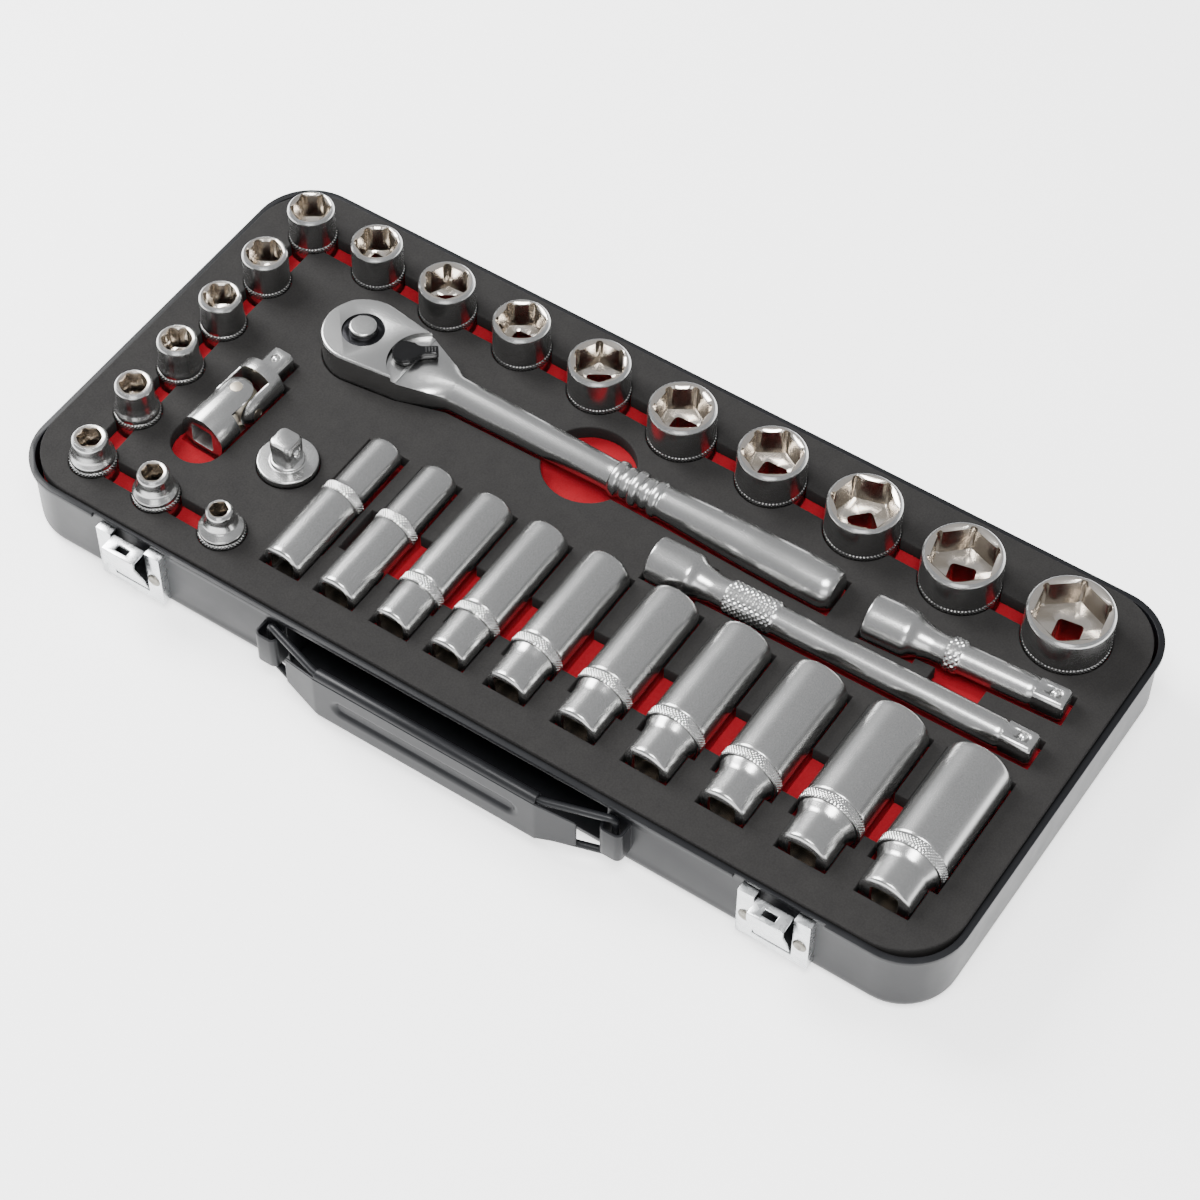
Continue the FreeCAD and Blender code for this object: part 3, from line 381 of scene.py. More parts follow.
# %% [markdown]
# ## Diamond knurling
# A knurl is two families of fine grooves that cross, leaving little pyramids for the fingers.
# Bump alone would leave a smooth outline, so the pyramids are real points: the height at a spot
# is the lower of two zigzag waves that run around the band in opposite directions.  The pitch is
# drawn a little coarser than a real fine knurl, so that each pyramid has enough faces.


# %% Knurled band
SOCKET_KNURL_PITCH = 1.3
BAR_KNURL_PITCH = 2.2


def zigzag(value):
    return 1 - abs(2 * (value % 1.0) - 1)


def knurled_band(mesh, place, radius, low, high, pitch, depth, finish=1):
    """A closed ring with pyramids outside, from height low to high."""
    teeth = round(2 * math.pi * radius / pitch)
    around = teeth * 4
    rows = max(4, round((high - low) / (pitch / 4)))
    rings = [(low, circle(radius - depth - 0.6)), (low, circle(radius - depth))]

    def outline(height):
        edge = min(1.0, (height - low) / 0.35, (high - height) / 0.35)

        def reach(angle):
            turn = teeth * angle / (2 * math.pi)
            climb = height / pitch
            lower = min(zigzag(turn + climb), zigzag(turn - climb))
            return radius - depth + depth * edge * min(1.0, 1.25 * lower)
        return reach

    for row in range(rows + 1):
        height = low + (high - low) * row / rows
        rings.append((height, outline(height)))
    rings.append((high, circle(radius - depth - 0.6)))
    return skin(mesh, rings, place, around, close=True, finish=finish)


print("a 20 mm band has", round(math.pi * 20 / SOCKET_KNURL_PITCH), "pyramids around it")

# %% [markdown]
# ## Standing sockets
# Each socket is one closed skin: up the outside, over the rounded mouth, down the hexagon with its
# relief grooves, across the dished floor and out through the square.  The small sizes flare from
# their mouth down to a full-sized drive end, as they do on the real ones.


# %% One standing socket
STANDING_DEPTH = 12.4
BAND_LOW = 10.6
BAND_HIGH = 14.0


def standing_height(size):
    return 24.8 if size <= 8 else 28.0


def standing_outside(size):
    """Profile of the outside as (radius, height), from the drive end to the mouth."""
    mouth = STANDING[size][0] / 2
    body = max(mouth, 8.5)
    height = standing_height(size)
    profile = [(body - 1.9, 0), (body - 0.6, 0.9),
               (body - 0.6, BAND_LOW + 0.3), (body - 0.25, BAND_HIGH - 0.3)]
    if mouth < 8.1:
        profile += [(body - 0.1, BAND_HIGH + 1.5), (mouth + 0.30 * (body - mouth), BAND_HIGH + 3.6),
                    (mouth, BAND_HIGH + 6.4)]
    else:
        profile += [(mouth, BAND_HIGH + 0.6)]
    profile += [(mouth, height - 1.0), (mouth - 0.9, height)]
    return profile, mouth, body, height


def drive_rings(depth, low_end):
    """Rings down a square drive hole, from depth to the drive face."""
    walls = square(DRIVE_SQUARE, 0.7)
    mouth = square(DRIVE_SQUARE + 1.2, 0.9)
    return [(depth, walls), (low_end + 0.7, walls), (low_end, mouth)]


def make_standing_socket(size):
    _, x, y, turn = STANDING[size]
    spot = Matrix.Translation(Vector((x, y, FOAM_TOP - STANDING_DEPTH)) * MM)
    place = spot @ Matrix.Rotation(math.radians(turn), 4, "Z")
    profile, mouth, body, height = standing_outside(size)
    depth = min(12.0, 6.0 + size * 0.45)
    floor = height - depth
    around = 144
    mesh = bmesh.new()
    outside = round_rings(profile, 0.7, 4)
    hex_walls = hexagon(size, size * 0.008)
    lead = min(mouth - 1.2, size / 2 * 1.18)
    bore = [(height, circle(mouth - 1.25)), (height - 0.15, between(circle(lead), hex_walls, 0.4)),
            (height - 0.9, hex_walls), (floor + 0.3, hex_walls), (floor, hexagon(size * 0.985))]
    if size >= 14:
        inner = square(DRIVE_SQUARE, 0.7)
    else:
        inner = circle(min(size, DRIVE_SQUARE) * 0.44)
    bore += [(floor - 0.5, between(hexagon(size * 0.9), inner, 0.55)), (floor - 0.9, inner)]
    if size < 14:
        bore += [(12.0, inner)]
    bore += drive_rings(12.0 if size < 14 else floor - 1.2, 0.0)
    rings = outside + bore
    faces = skin(mesh, rings, place, around, close=True)
    for face in faces:
        centre = place.inverted() @ face.calc_center_median() / MM
        if math.hypot(centre.x, centre.y) < mouth - 1.2 and centre.z < height - 0.05:
            face.material_index = 2
    knurled_band(mesh, place, body + 0.25, BAND_LOW, BAND_HIGH, SOCKET_KNURL_PITCH, 0.42)
    name = "socket_%02d" % size
    piece = make_piece("standing_" + name, mesh, (SATIN_CHROME, KNURLED_CHROME, BROACHED_STEEL))
    return dress(piece, name, [name])


# %% All the standing sockets
for size in STANDING:
    make_standing_socket(size)
print("standing sockets made:", len(STANDING))

# %% [markdown]
# ## Deep sockets
# The deep sockets are the same idea, laid on their side.  A narrower drive end rises in a short
# fillet to a knurled ring, and the long hexagonal barrel follows.  The two smallest are the other
# way round: their drive end is the thicker part.

# %% One deep socket
DEEP_LENGTH = 63.5
DEEP_DRIVE_Y = -69.5
LAID_ALONG_Y = Matrix.Rotation(math.radians(-90), 4, "X")


def make_deep_socket(size):
    drive_od, hex_od, x = DEEP[size]
    drive, tube = drive_od / 2, hex_od / 2
    band = max(drive, tube) + 0.35
    place = Matrix.Translation(Vector((x, DEEP_DRIVE_Y, FOAM_TOP)) * MM) @ LAID_ALONG_Y
    profile = [(drive - 1.5, 0), (drive - 0.3, 0.5), (drive, 1.4)]
    if tube < drive:
        ring = 33.5
        profile += [(drive, ring - 0.3), (drive - 0.6, ring + 0.2),
                    (drive - 0.6, ring + 3.8), (tube, ring + 5.2)]
    else:
        ring = 16.0
        profile += [(drive, 12.6), (tube - 0.8, ring + 0.2), (tube - 0.8, ring + 3.7), (tube, ring + 4.3)]
    profile += [(tube, DEEP_LENGTH - 1.8), (tube - 0.5, DEEP_LENGTH - 0.5), (tube - 1.3, DEEP_LENGTH)]
    outside = round_rings(profile, 1.1, 4)
    floor = DEEP_LENGTH - 34.0
    walls = hexagon(size, size * 0.008)
    link = circle(min(size, DRIVE_SQUARE) * 0.44)
    lead_in = between(circle(size / 2 * 1.15), walls, 0.4)
    bore = [(DEEP_LENGTH - 0.1, circle(tube - 1.6)), (DEEP_LENGTH - 0.3, lead_in),
            (DEEP_LENGTH - 1.2, walls), (floor, walls), (floor - 1.5, link), (12.5, link)]
    mesh = bmesh.new()
    faces = skin(mesh, outside + bore + drive_rings(12.0, 0.0), place, 120, close=True)
    back = place.inverted()
    for face in faces:
        centre = back @ face.calc_center_median() / MM
        if math.hypot(centre.x, centre.y) < min(tube, drive) - 1.3 and 0.05 < centre.z < DEEP_LENGTH - 0.05:
            face.material_index = 2
    knurled_band(mesh, place, band, ring, ring + 4.0, SOCKET_KNURL_PITCH, 0.45)
    name = "deep_socket_%02d" % size
    piece = make_piece("laid_" + name, mesh, (SATIN_CHROME, KNURLED_CHROME, BROACHED_STEEL))
    return dress(piece, name, [name])


# %% All the deep sockets
for size in DEEP:
    make_deep_socket(size)
print("deep sockets made:", len(DEEP))

# %% [markdown]
# ## Square ends and detent balls
# Extension bars, the joint and the adaptor all end in a square with a sprung ball in one face.
# The square grows out of the round bar through a short turned shoulder, and its tip is dressed
# back to a smaller square.  The ball sits in a drilled hole, so a Boolean drills it.


# %% Male square rings and a drilled hole
def male_rings(start, tip):
    """Rings of a male square from its shoulder to its tip."""
    full = square(MALE_SQUARE, 0.9)
    nose = square(MALE_SQUARE - 1.0, 0.9)
    end = square(MALE_SQUARE - 1.9, 1.0)
    return [(start, full), (start + 0.8, full), (tip - 1.3, full), (tip - 0.6, between(full, nose, 0.6)),
            (tip - 0.2, nose), (tip, end)]


def drill(piece, centre, direction, radius, depth):
    """Cut a round blind hole into a piece, both given in the row frame."""
    cutter_mesh = bmesh.new()
    aim = Vector(direction).to_track_quat("Z", "Y").to_matrix().to_4x4()
    place = Matrix.Translation(Vector(centre) * MM) @ aim
    rings = [(-depth, circle(radius * 0.2)), (-depth + radius * 0.35, circle(radius)), (4.0, circle(radius))]
    skin(cutter_mesh, rings, place, 40, cap_start=True, cap_end=True)
    cutter = make_piece("drill", cutter_mesh, ())
    cut = piece.modifiers.new("drilled hole", "BOOLEAN")
    cut.operation = "DIFFERENCE"
    cut.solver = "EXACT"
    cut.object = cutter
    settle(piece)
    bpy.data.objects.remove(cutter)


def settle(piece):
    """Bake a piece's modifiers into its mesh."""
    depsgraph = bpy.context.evaluated_depsgraph_get()
    data = bpy.data.meshes.new_from_object(piece.evaluated_get(depsgraph))
    piece.modifiers.clear()
    piece.data = data


# %% A detent ball with its flat polished spot
BALL_RADIUS = 1.7


def make_ball(name, centre, direction, body, node):
    aim = Vector(direction).to_track_quat("Z", "Y").to_matrix().to_4x4()
    place = Matrix.Translation(Vector(centre) * MM) @ aim
    rings = []
    for step in range(1, 20):
        lean = math.pi * step / 20 - math.pi / 2
        height = min(BALL_RADIUS * math.sin(lean), BALL_RADIUS * 0.985)
        rings.append((height, circle(BALL_RADIUS * math.cos(lean))))
    mesh = bmesh.new()
    skin(mesh, rings, place, 32, cap_start=True, cap_end=True)
    piece = make_piece(name, mesh, (BALL_STEEL,))
    return dress(piece, body, [node])


print("square ends ready")

# %% [markdown]
# ## Extension bars
# A bar is a female square in a thick barrel, a waisted neck, a knurled grip, a plain shank and a
# male square.  It is drawn upright as one skin, from the floor of its female square to its tip,
# and then laid down along X with a small turn, just as it lies in the foam.

# %% One extension bar
BARS = {
    "long": {"length": 150.0, "x": 25.6, "y": 5.6, "turn": 1.1, "knurl": 20.0},
    "short": {"length": 75.0, "x": 101.0, "y": 26.0, "turn": 3.4, "knurl": 6.0},
}
BAR_Z = FOAM_TOP + 2.0


def bar_place(bar):
    """Lay a shape made along +Z along +X, the side that faced -X on top."""
    spot = Matrix.Translation(Vector((bar["x"], bar["y"], BAR_Z)) * MM)
    turn = Matrix.Rotation(math.radians(bar["turn"]), 4, "Z")
    return spot @ turn @ Matrix.Rotation(math.radians(90), 4, "Y")


def make_extension(label):
    bar = BARS[label]
    length = bar["length"]
    start = length - MALE_LENGTH
    neck = 30.0
    inside = [(12.0, square(DRIVE_SQUARE, 0.7)), (0.8, square(DRIVE_SQUARE, 0.7)),
              (0.0, square(DRIVE_SQUARE + 1.3, 0.9))]
    profile = [(7.6, 0.0), (8.6, 0.5), (8.75, 1.4), (8.75, 15.6), (8.3, 16.8), (6.7, 19.0),
               (5.45, 24.5), (5.45, neck + 0.2)]
    knurl_end = neck + bar["knurl"]
    profile += [(5.7, neck + 0.6), (5.7, knurl_end - 0.6), (5.45, knurl_end),
                (5.45, start - 1.6), (4.9, start - 0.2)]
    outside = round_rings(profile, 1.4, 4)
    shoulder = [(start - 0.05, between(circle(4.9), square(MALE_SQUARE, 0.9), 0.5))]
    mesh = bmesh.new()
    place = bar_place(bar)
    rings = inside + outside + shoulder + male_rings(start + 0.1, length)
    skin(mesh, rings, place, 96, cap_start=True, cap_end=True)
    body = "extension_" + label
    piece = make_piece(body + "_bar", mesh, (SATIN_CHROME,))
    ball_height = length - MALE_LENGTH * 0.42
    top = place @ (Vector((-MALE_SQUARE / 2, 0, ball_height)) * MM) / MM
    drill(piece, top, (0, 0, 1), BALL_RADIUS + 0.12, 2.6)
    dress(piece, body, [body])
    mesh = bmesh.new()
    knurled_band(mesh, place, 6.3, neck + 0.3, knurl_end - 0.3, BAR_KNURL_PITCH, 0.55, finish=0)
    dress(make_piece(body + "_knurl", mesh, (KNURLED_CHROME,), sharp=20), body, [])
    ball = place @ (Vector((-(MALE_SQUARE / 2 + 0.75 - BALL_RADIUS), 0, ball_height)) * MM) / MM
    make_ball(body + "_detent", ball, (0, 0, 1), body + "_ball", body + "_ball")
    return piece


# %% Both bars
for label in BARS:
    make_extension(label)
print("extension bars made:", len(BARS))

# %% [markdown]
# ## Step adaptor
# A short thick disc with a large square below and a small square above.  Only its top shows out of
# the foam.  The same rings draw it standing up.

# %% The adaptor
ADAPTOR = {"x": -107.4, "y": -30.9, "base": FOAM_TOP + 2.6 - 17.0, "body": 17.0}


def make_adaptor():
    place = Matrix.Translation(Vector((ADAPTOR["x"], ADAPTOR["y"], ADAPTOR["base"])) * MM)
    top = ADAPTOR["body"]
    inside = [(13.0, square(12.8, 0.7)), (0.9, square(12.8, 0.7)), (0.0, square(14.0, 0.9))]
    profile = [(10.0, 0.0), (10.8, 0.8), (10.8, top - 4.0), (11.3, top - 3.4), (11.3, top - 0.5), (10.9, top),
               (6.6, top), (6.3, top + 0.15), (6.1, top + 0.9), (5.4, top + 1.1)]
    outside = round_rings(profile, 0.3, 4)
    shoulder = [(top + 1.2, between(circle(5.4), square(MALE_SQUARE, 0.9), 0.6))]
    mesh = bmesh.new()
    tip = top + MALE_LENGTH
    rings = inside + outside + shoulder + male_rings(top + 1.4, tip)
    skin(mesh, rings, place, 96, cap_start=True, cap_end=True)
    piece = make_piece("step_adaptor_body", mesh, (SATIN_CHROME,))
    height = tip - MALE_LENGTH * 0.45 + ADAPTOR["base"]
    drill(piece, (ADAPTOR["x"] + MALE_SQUARE / 2, ADAPTOR["y"], height), (1, 0, 0), BALL_RADIUS + 0.12, 2.6)
    dress(piece, "step_adaptor", ["step_adaptor"])
    ball = (ADAPTOR["x"] + MALE_SQUARE / 2 + 0.75 - BALL_RADIUS, ADAPTOR["y"], height)
    make_ball("step_adaptor_detent", ball, (1, 0, 0), "step_adaptor_ball", "step_adaptor_ball")


make_adaptor()
print("adaptor made")

# %% [markdown]
# ## Reusing a CAD skin
# Pressed and milled parts are already right in the CAD model, but their edges are knife sharp.
# Real edges catch a thin line of light.  So the skin is copied, its flat triangles are merged back
# into whole faces, and a Bevel modifier breaks every corner.


# %% Copy a CAD skin and break its edges
def cad_copy(node, name, merge_angle=0.5):
    """A cleaned copy of a CAD node's mesh."""
    mesh = bmesh.new()
    mesh.from_mesh(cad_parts[node].data)
    bmesh.ops.remove_doubles(mesh, verts=mesh.verts, dist=1e-6)
    bmesh.ops.dissolve_limit(mesh, angle_limit=math.radians(merge_angle), verts=mesh.verts, edges=mesh.edges)
    for face in mesh.faces:
        face.smooth = True
    data = bpy.data.meshes.new(name)
    mesh.to_mesh(data)
    mesh.free()
    data.materials.clear()
    piece = bpy.data.objects.new(name, data)
    bpy.context.scene.collection.objects.link(piece)
    return piece


def break_edges(piece, width, segments=2, angle=28):
    bevel = piece.modifiers.new("broken edges", "BEVEL")
    bevel.width = width * MM
    bevel.segments = segments
    bevel.limit_method = "ANGLE"
    bevel.angle_limit = math.radians(angle)
    bevel.harden_normals = False
    bevel.use_clamp_overlap = True
    settle(piece)
    for polygon in piece.data.polygons:
        polygon.use_smooth = True
    mark_sharp(piece, 40)
    return piece


def mark_sharp(piece, angle):
    mesh = bmesh.new()
    mesh.from_mesh(piece.data)
    for edge in mesh.edges:
        if len(edge.link_faces) == 2:
            edge.smooth = edge.calc_face_angle(0) < math.radians(angle)
    mesh.to_mesh(piece.data)
    mesh.free()


def broken_copy(node, name, body, material, width, segments=2):
    piece = break_edges(cad_copy(node, name), width, segments)
    piece.data.materials.clear()
    piece.data.materials.append(material)
    return dress(piece, body, [node])


print("edge tool ready")

# %% [markdown]
# ## The tray, the latches and the hidden works
# The tray is drawn sheet, so its edges are soft but tight.  The latches are stamped, so theirs are
# tighter still.  The ratchet's gear, pawl and cover are milled and show only in other poses.

# %% Tray and pressed parts
broken_copy("case_tray", "tray_shell", "case", POWDER_COAT, 0.32, 3)
for side in ("left", "right"):
    broken_copy("latch_plate_" + side, "latch_strip_" + side, "case", ZINC_PLATE, 0.3, 3)
    tongue = "latch_tongue_" + side
    broken_copy(tongue, "latch_catch_" + side, tongue, ZINC_PLATE, 0.35, 3)
broken_copy("ratchet_cover_plate", "ratchet_cover", "ratchet", SATIN_CHROME, 0.3)
broken_copy("ratchet_pawl", "ratchet_pawl_block", "ratchet_pawl", GROUND_STEEL, 0.2)
print("pressed parts dressed")

# %% [markdown]
# ## Rivets
# A latch rivet has a low mushroomed head with a small dimple from the setting tool.

# %% Four rivets
mesh = bmesh.new()
for side in (-1, 1):
    for offset in (-10.6, 10.6):
        spot = Vector((side * 134.5 + offset, WALL_Y - 3.6, 17.0)) * MM
        place = Matrix.Translation(spot) @ Matrix.Rotation(math.radians(90), 4, "X")
        head = [(1.5, -3.4), (1.5, -0.1), (2.6, 0.0), (2.6, 0.25),
                (2.1, 0.62), (1.1, 0.72), (0.75, 0.5), (0.2, 0.42)]
        skin(mesh, round_rings(head, 0.15, 2), place, 40, cap_start=True, cap_end=True)
rivets = make_piece("latch_rivet_heads", mesh, (DULL_ZINC,))
dress(rivets, "case", ["latch_rivets"])
print("rivets made: 4")

# %% [markdown]
# ## The handle
# A wire bail, bent to a shallow bow, carries a pressed grip plate whose long edges are rolled
# round the wire.  The wire is a curve with thickness, its bends rounded.  The grip is a sheet of
# quads with a long channel pressed into it, then given the thickness of the metal.

# %% The wire bail
GRIP_OUT = 10.4
GRIP_LOW = 8.0
GRIP_HIGH = 28.4
BAIL_OUT = 2.6
BAIL_SIDE = 72
bend = 46.6
end_y = WALL_Y - BAIL_OUT
bow_y = WALL_Y - GRIP_OUT
corners = [(-BAIL_SIDE, end_y, 18), (-BAIL_SIDE, end_y, GRIP_HIGH), (-bend, bow_y, GRIP_HIGH),
           (bend, bow_y, GRIP_HIGH), (BAIL_SIDE, end_y, GRIP_HIGH), (BAIL_SIDE, end_y, GRIP_LOW),
           (bend, bow_y, GRIP_LOW), (-bend, bow_y, GRIP_LOW),
           (-BAIL_SIDE, end_y, GRIP_LOW), (-BAIL_SIDE, end_y, 17.9)]
curve = bpy.data.curves.new("bail_wire", "CURVE")
curve.dimensions = "3D"
curve.bevel_depth = 1.4 * MM
curve.bevel_resolution = 6
route = soften(corners, 2.6, 6)
spline = curve.splines.new("POLY")
spline.points.add(len(route) - 1)
for point, spot in zip(spline.points, route):
    point.co = (*(value * MM for value in spot), 1.0)
spline.use_cyclic_u = True
bail = bpy.data.objects.new("handle_wire", curve)
bpy.context.scene.collection.objects.link(bail)
curve.materials.append(POWDER_COAT)
dress(bail, "handle", ["handle_bail"])
print("bail bent through", len(corners), "corners")


# %% The pressed grip
GRIP_MIDDLE = 46.0
GRIP_END = 60.5
GRIP_END_OUT = 7.2
GRIP_END_LOW = 12.0
GRIP_END_HIGH = 25.0
GRIP_PROUD = 1.45


def grip_station(x):
    """Lower edge, upper edge and distance out from the wall of the grip plate at x."""
    share = min(1.0, max(0.0, (abs(x) - GRIP_MIDDLE) / (GRIP_END - GRIP_MIDDLE)))
    low = GRIP_LOW * (1 - share) + GRIP_END_LOW * share
    high = GRIP_HIGH * (1 - share) + GRIP_END_HIGH * share
    out = (GRIP_OUT + GRIP_PROUD) * (1 - share) + (GRIP_END_OUT + GRIP_PROUD) * share
    return low, high, out


def channel_depth(x, z):
    """How deep the long pressed channel is at this spot."""
    centre, half_length, half_height = 18.2, 38.0, 3.4
    beyond = max(0.0, abs(x) - (half_length - half_height))
    reach = math.hypot(beyond, z - centre) / half_height
    if reach >= 1.35:
        return 0.0
    if reach <= 0.65:
        return 1.3
    share = (1.35 - reach) / 0.7
    return 1.3 * share * share * (3 - 2 * share)


mesh = bmesh.new()
columns = []
stations = [-GRIP_END + 2 * GRIP_END * step / 220 for step in range(221)]
for x in stations:
    low, high, out = grip_station(x)
    column = []
    for step in range(45):
        z = low + (high - low) * step / 44
        column.append(mesh.verts.new(Vector((x, WALL_Y - out + channel_depth(x, z), z)) * MM))
    columns.append(column)
for left, right in zip(columns, columns[1:]):
    for step in range(44):
        mesh.faces.new((left[step], right[step], right[step + 1], left[step + 1])).smooth = True
grip = make_piece("handle_grip_plate", mesh, (POWDER_COAT,), sharp=60)
thickness = grip.modifiers.new("sheet thickness", "SOLIDIFY")
thickness.thickness = 1.1 * MM
thickness.offset = 1.0
edge = grip.modifiers.new("rolled edge", "BEVEL")
edge.width = 0.35 * MM
edge.segments = 2
edge.limit_method = "ANGLE"
edge.angle_limit = math.radians(60)
settle(grip)
dress(grip, "handle", ["handle_grip"])
print("grip pressed, thickness 1.1 mm")

# %% The rolled hems
mesh = bmesh.new()
for z in (GRIP_LOW, GRIP_HIGH):
    spot = Matrix.Translation(Vector((-GRIP_MIDDLE, WALL_Y - GRIP_OUT, z)) * MM)
    place = spot @ Matrix.Rotation(math.radians(90), 4, "Y")
    hem = [(1.46, 0.3), (1.46, 91.7), (1.7, 92.0), (2.1, 92.0),
           (2.35, 91.6), (2.35, 0.4), (2.1, 0.0), (1.7, 0.0)]
    skin(mesh, [(height, circle(reach)) for reach, height in hem], place, 40, close=True)
hems = make_piece("handle_grip_hems", mesh, (POWDER_COAT,))
dress(hems, "handle", [])
print("hems rolled")

# %% [markdown]
# ## The foam
# Foam is cut with a blade, and its cut edges pull in and round over a little.  The black sheet is
# drawn as a flat curve: the outline of the CAD sheet's top face is walked edge by edge, each loop
# becomes a spline, and the curve's own bevel rounds both lips of every cut.


# %% Walk the outline of a flat face
def face_loops(node, height):
    """Closed loops of points round the flat faces of a CAD node at this height.

    Two edges can start at one corner, so the edge's own number settles which comes first.
    """
    mesh = bmesh.new()
    mesh.from_mesh(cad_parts[node].data)
    bmesh.ops.remove_doubles(mesh, verts=mesh.verts, dist=1e-6)
    mesh.edges.index_update()
    flat = set()
    for face in mesh.faces:
        if all(abs(corner.co.z - height * MM) < 1e-5 for corner in face.verts):
            flat.add(face)
    border = set()
    for edge in mesh.edges:
        if sum(face in flat for face in edge.link_faces) == 1:
            border.add(edge)
    loops = []
    while border:
        edge = min(border, key=lambda item: (item.verts[0].co.x, item.verts[0].co.y, item.index))
        border.remove(edge)
        loop = [edge.verts[0], edge.verts[1]]
        while loop[-1] is not loop[0]:
            onward = [item for item in loop[-1].link_edges if item in border]
            if not onward:
                break
            border.remove(onward[0])
            loop.append(onward[0].other_vert(loop[-1]))
        loops.append([corner.co.copy() for corner in loop[:-1]])
    mesh.free()
    return loops


def foam_sheet(name, loops, low, high, lip, material):
    """A solid sheet from flat loops, with rounded lips."""
    curve = bpy.data.curves.new(name, "CURVE")
    curve.dimensions = "2D"
    curve.fill_mode = "BOTH"
    curve.bevel_depth = lip * MM
    curve.bevel_resolution = 2
    curve.offset = -lip * MM
    curve.extrude = ((high - low) / 2 - lip) * MM
    for loop in loops:
        spline = curve.splines.new("POLY")
        spline.points.add(len(loop) - 1)
        for point, corner in zip(spline.points, loop):
            point.co = (corner.x, corner.y, 0.0, 1.0)
        spline.use_cyclic_u = True
    sheet = bpy.data.objects.new(name + " drawing", curve)
    bpy.context.scene.collection.objects.link(sheet)
    bpy.context.view_layer.update()
    data = bpy.data.meshes.new_from_object(sheet.evaluated_get(bpy.context.evaluated_depsgraph_get()))
    bpy.data.objects.remove(sheet)
    piece = bpy.data.objects.new(name, data)
    bpy.context.scene.collection.objects.link(piece)
    data.transform(Matrix.Translation((0, 0, (low + high) / 2 * MM)))
    data.materials.clear()
    data.materials.append(material)
    for polygon in data.polygons:
        polygon.use_smooth = True
        polygon.material_index = 0
    mark_sharp(piece, 50)
    return piece


# %% Black top sheet
loops = face_loops("foam_black_top", FOAM_TOP)
black_sheet = foam_sheet("foam_top_sheet", loops, RED_TOP, FOAM_TOP, 0.45, BLACK_FOAM)
dress(black_sheet, "case", ["foam_black_top"])
print("black sheet cut with", len(loops) - 1, "openings")

# %% Red base
red_block = break_edges(cad_copy("foam_red_base", "foam_base_block"), 0.5, 2)
red_block.data.materials.clear()
red_block.data.materials.append(RED_FOAM)
dress(red_block, "case", ["foam_red_base"])
print("red base has", len(red_block.data.polygons), "faces")

# %% [markdown]
# ## The ratchet
# The ratchet's body is a forging, ground flat on the head and polished along the handle.  The head
# keeps the CAD skin, because its bores must stay exact, but it is cut off at the neck and every
# corner gets a ground bevel.  The handle is round, so it is turned like the sockets: a slim shank,
# five grip rings, and a swelling grip that ends in a flat face.

# %% Head and neck from the CAD skin
RATCHET = {"x": -116.3, "y": 27.6, "z": FOAM_TOP + 3.0, "half": 9.0, "neck": -75.0, "end": 86.8}


def cut_beyond(piece, x):
    """Remove what lies beyond a plane across X and close the cut."""
    mesh = bmesh.new()
    mesh.from_mesh(piece.data)
    parts = mesh.verts[:] + mesh.edges[:] + mesh.faces[:]
    cut = bmesh.ops.bisect_plane(mesh, geom=parts, plane_co=(x * MM, 0, 0), plane_no=(1, 0, 0),
                                 clear_outer=True)
    rim = [part for part in cut["geom_cut"] if isinstance(part, bmesh.types.BMEdge)]
    bmesh.ops.holes_fill(mesh, edges=rim)
    mesh.to_mesh(piece.data)
    mesh.free()


head = cad_copy("ratchet_body", "ratchet_head")
cut_beyond(head, RATCHET["neck"] + 2.0)
break_edges(head, 0.6, 3, 24)
head.data.materials.clear()
head.data.materials.append(SATIN_CHROME)
dress(head, "ratchet", ["ratchet_body"])
print("head has", len(head.data.polygons), "faces")

# %% Turned handle
length = RATCHET["end"] - RATCHET["neck"]
shank_end = -6.0 - RATCHET["neck"]
profile = [(6.2, -1.0), (6.9, 0.0), (5.7, shank_end - 2.0), (5.9, shank_end)]
for ring, radius in enumerate((6.8, 6.2, 6.9, 6.2, 7.0)):
    start = shank_end + ring * 4.2
    profile += [(radius - 0.9, start + 0.2), (radius, start + 1.0),
                (radius, start + 3.2), (radius - 0.9, start + 4.0)]
grip_start = shank_end + 21.5
profile += [(6.3, grip_start + 0.6), (8.0, length - 34.0), (8.3, length - 16.0),
            (8.3, length - 3.6), (7.4, length - 0.9), (6.2, length)]
spot = Matrix.Translation(Vector((RATCHET["neck"], RATCHET["y"], RATCHET["z"])) * MM)
place = spot @ Matrix.Rotation(math.pi / 2, 4, "Y")
mesh = bmesh.new()
skin(mesh, round_rings(profile, 1.3, 5), place, 96, cap_start=True, cap_end=True)
handle = make_piece("ratchet_handle", mesh, (SATIN_CHROME,))
dress(handle, "ratchet", [])
print("handle turned, %.0f mm long" % length)

# %% Drive gear with its black collar
gear = break_edges(cad_copy("ratchet_drive_gear", "ratchet_drive"), 0.15, 2)
gear.data.materials.clear()
gear.data.materials.append(GROUND_STEEL)
gear.data.materials.append(BLACK_OXIDE)
for polygon in gear.data.polygons:
    if polygon.center.z > (RATCHET["z"] + 1.5) * MM:
        polygon.material_index = 1
dress(gear, "ratchet_drive", ["ratchet_drive_gear"])
ball_x = RATCHET["x"] + MALE_SQUARE / 2 + 0.75 - BALL_RADIUS
anvil_ball = (ball_x, RATCHET["y"], RATCHET["z"] - 9.0 - 11.0 * 0.6)
make_ball("ratchet_detent", anvil_ball, (1, 0, 0), "ratchet_ball", "ratchet_ball")
print("drive gear dressed")

# %% [markdown]
# ## Button and reversing lever
# The release button is turned, with a flat top and a rounded edge.  The lever is gloss black and
# shaped like a keyhole: a round hub and a slim tail, drawn as a radius in each direction and
# stacked in rings like everything else, with a groove round its side.  Ribs on its tail give grip.

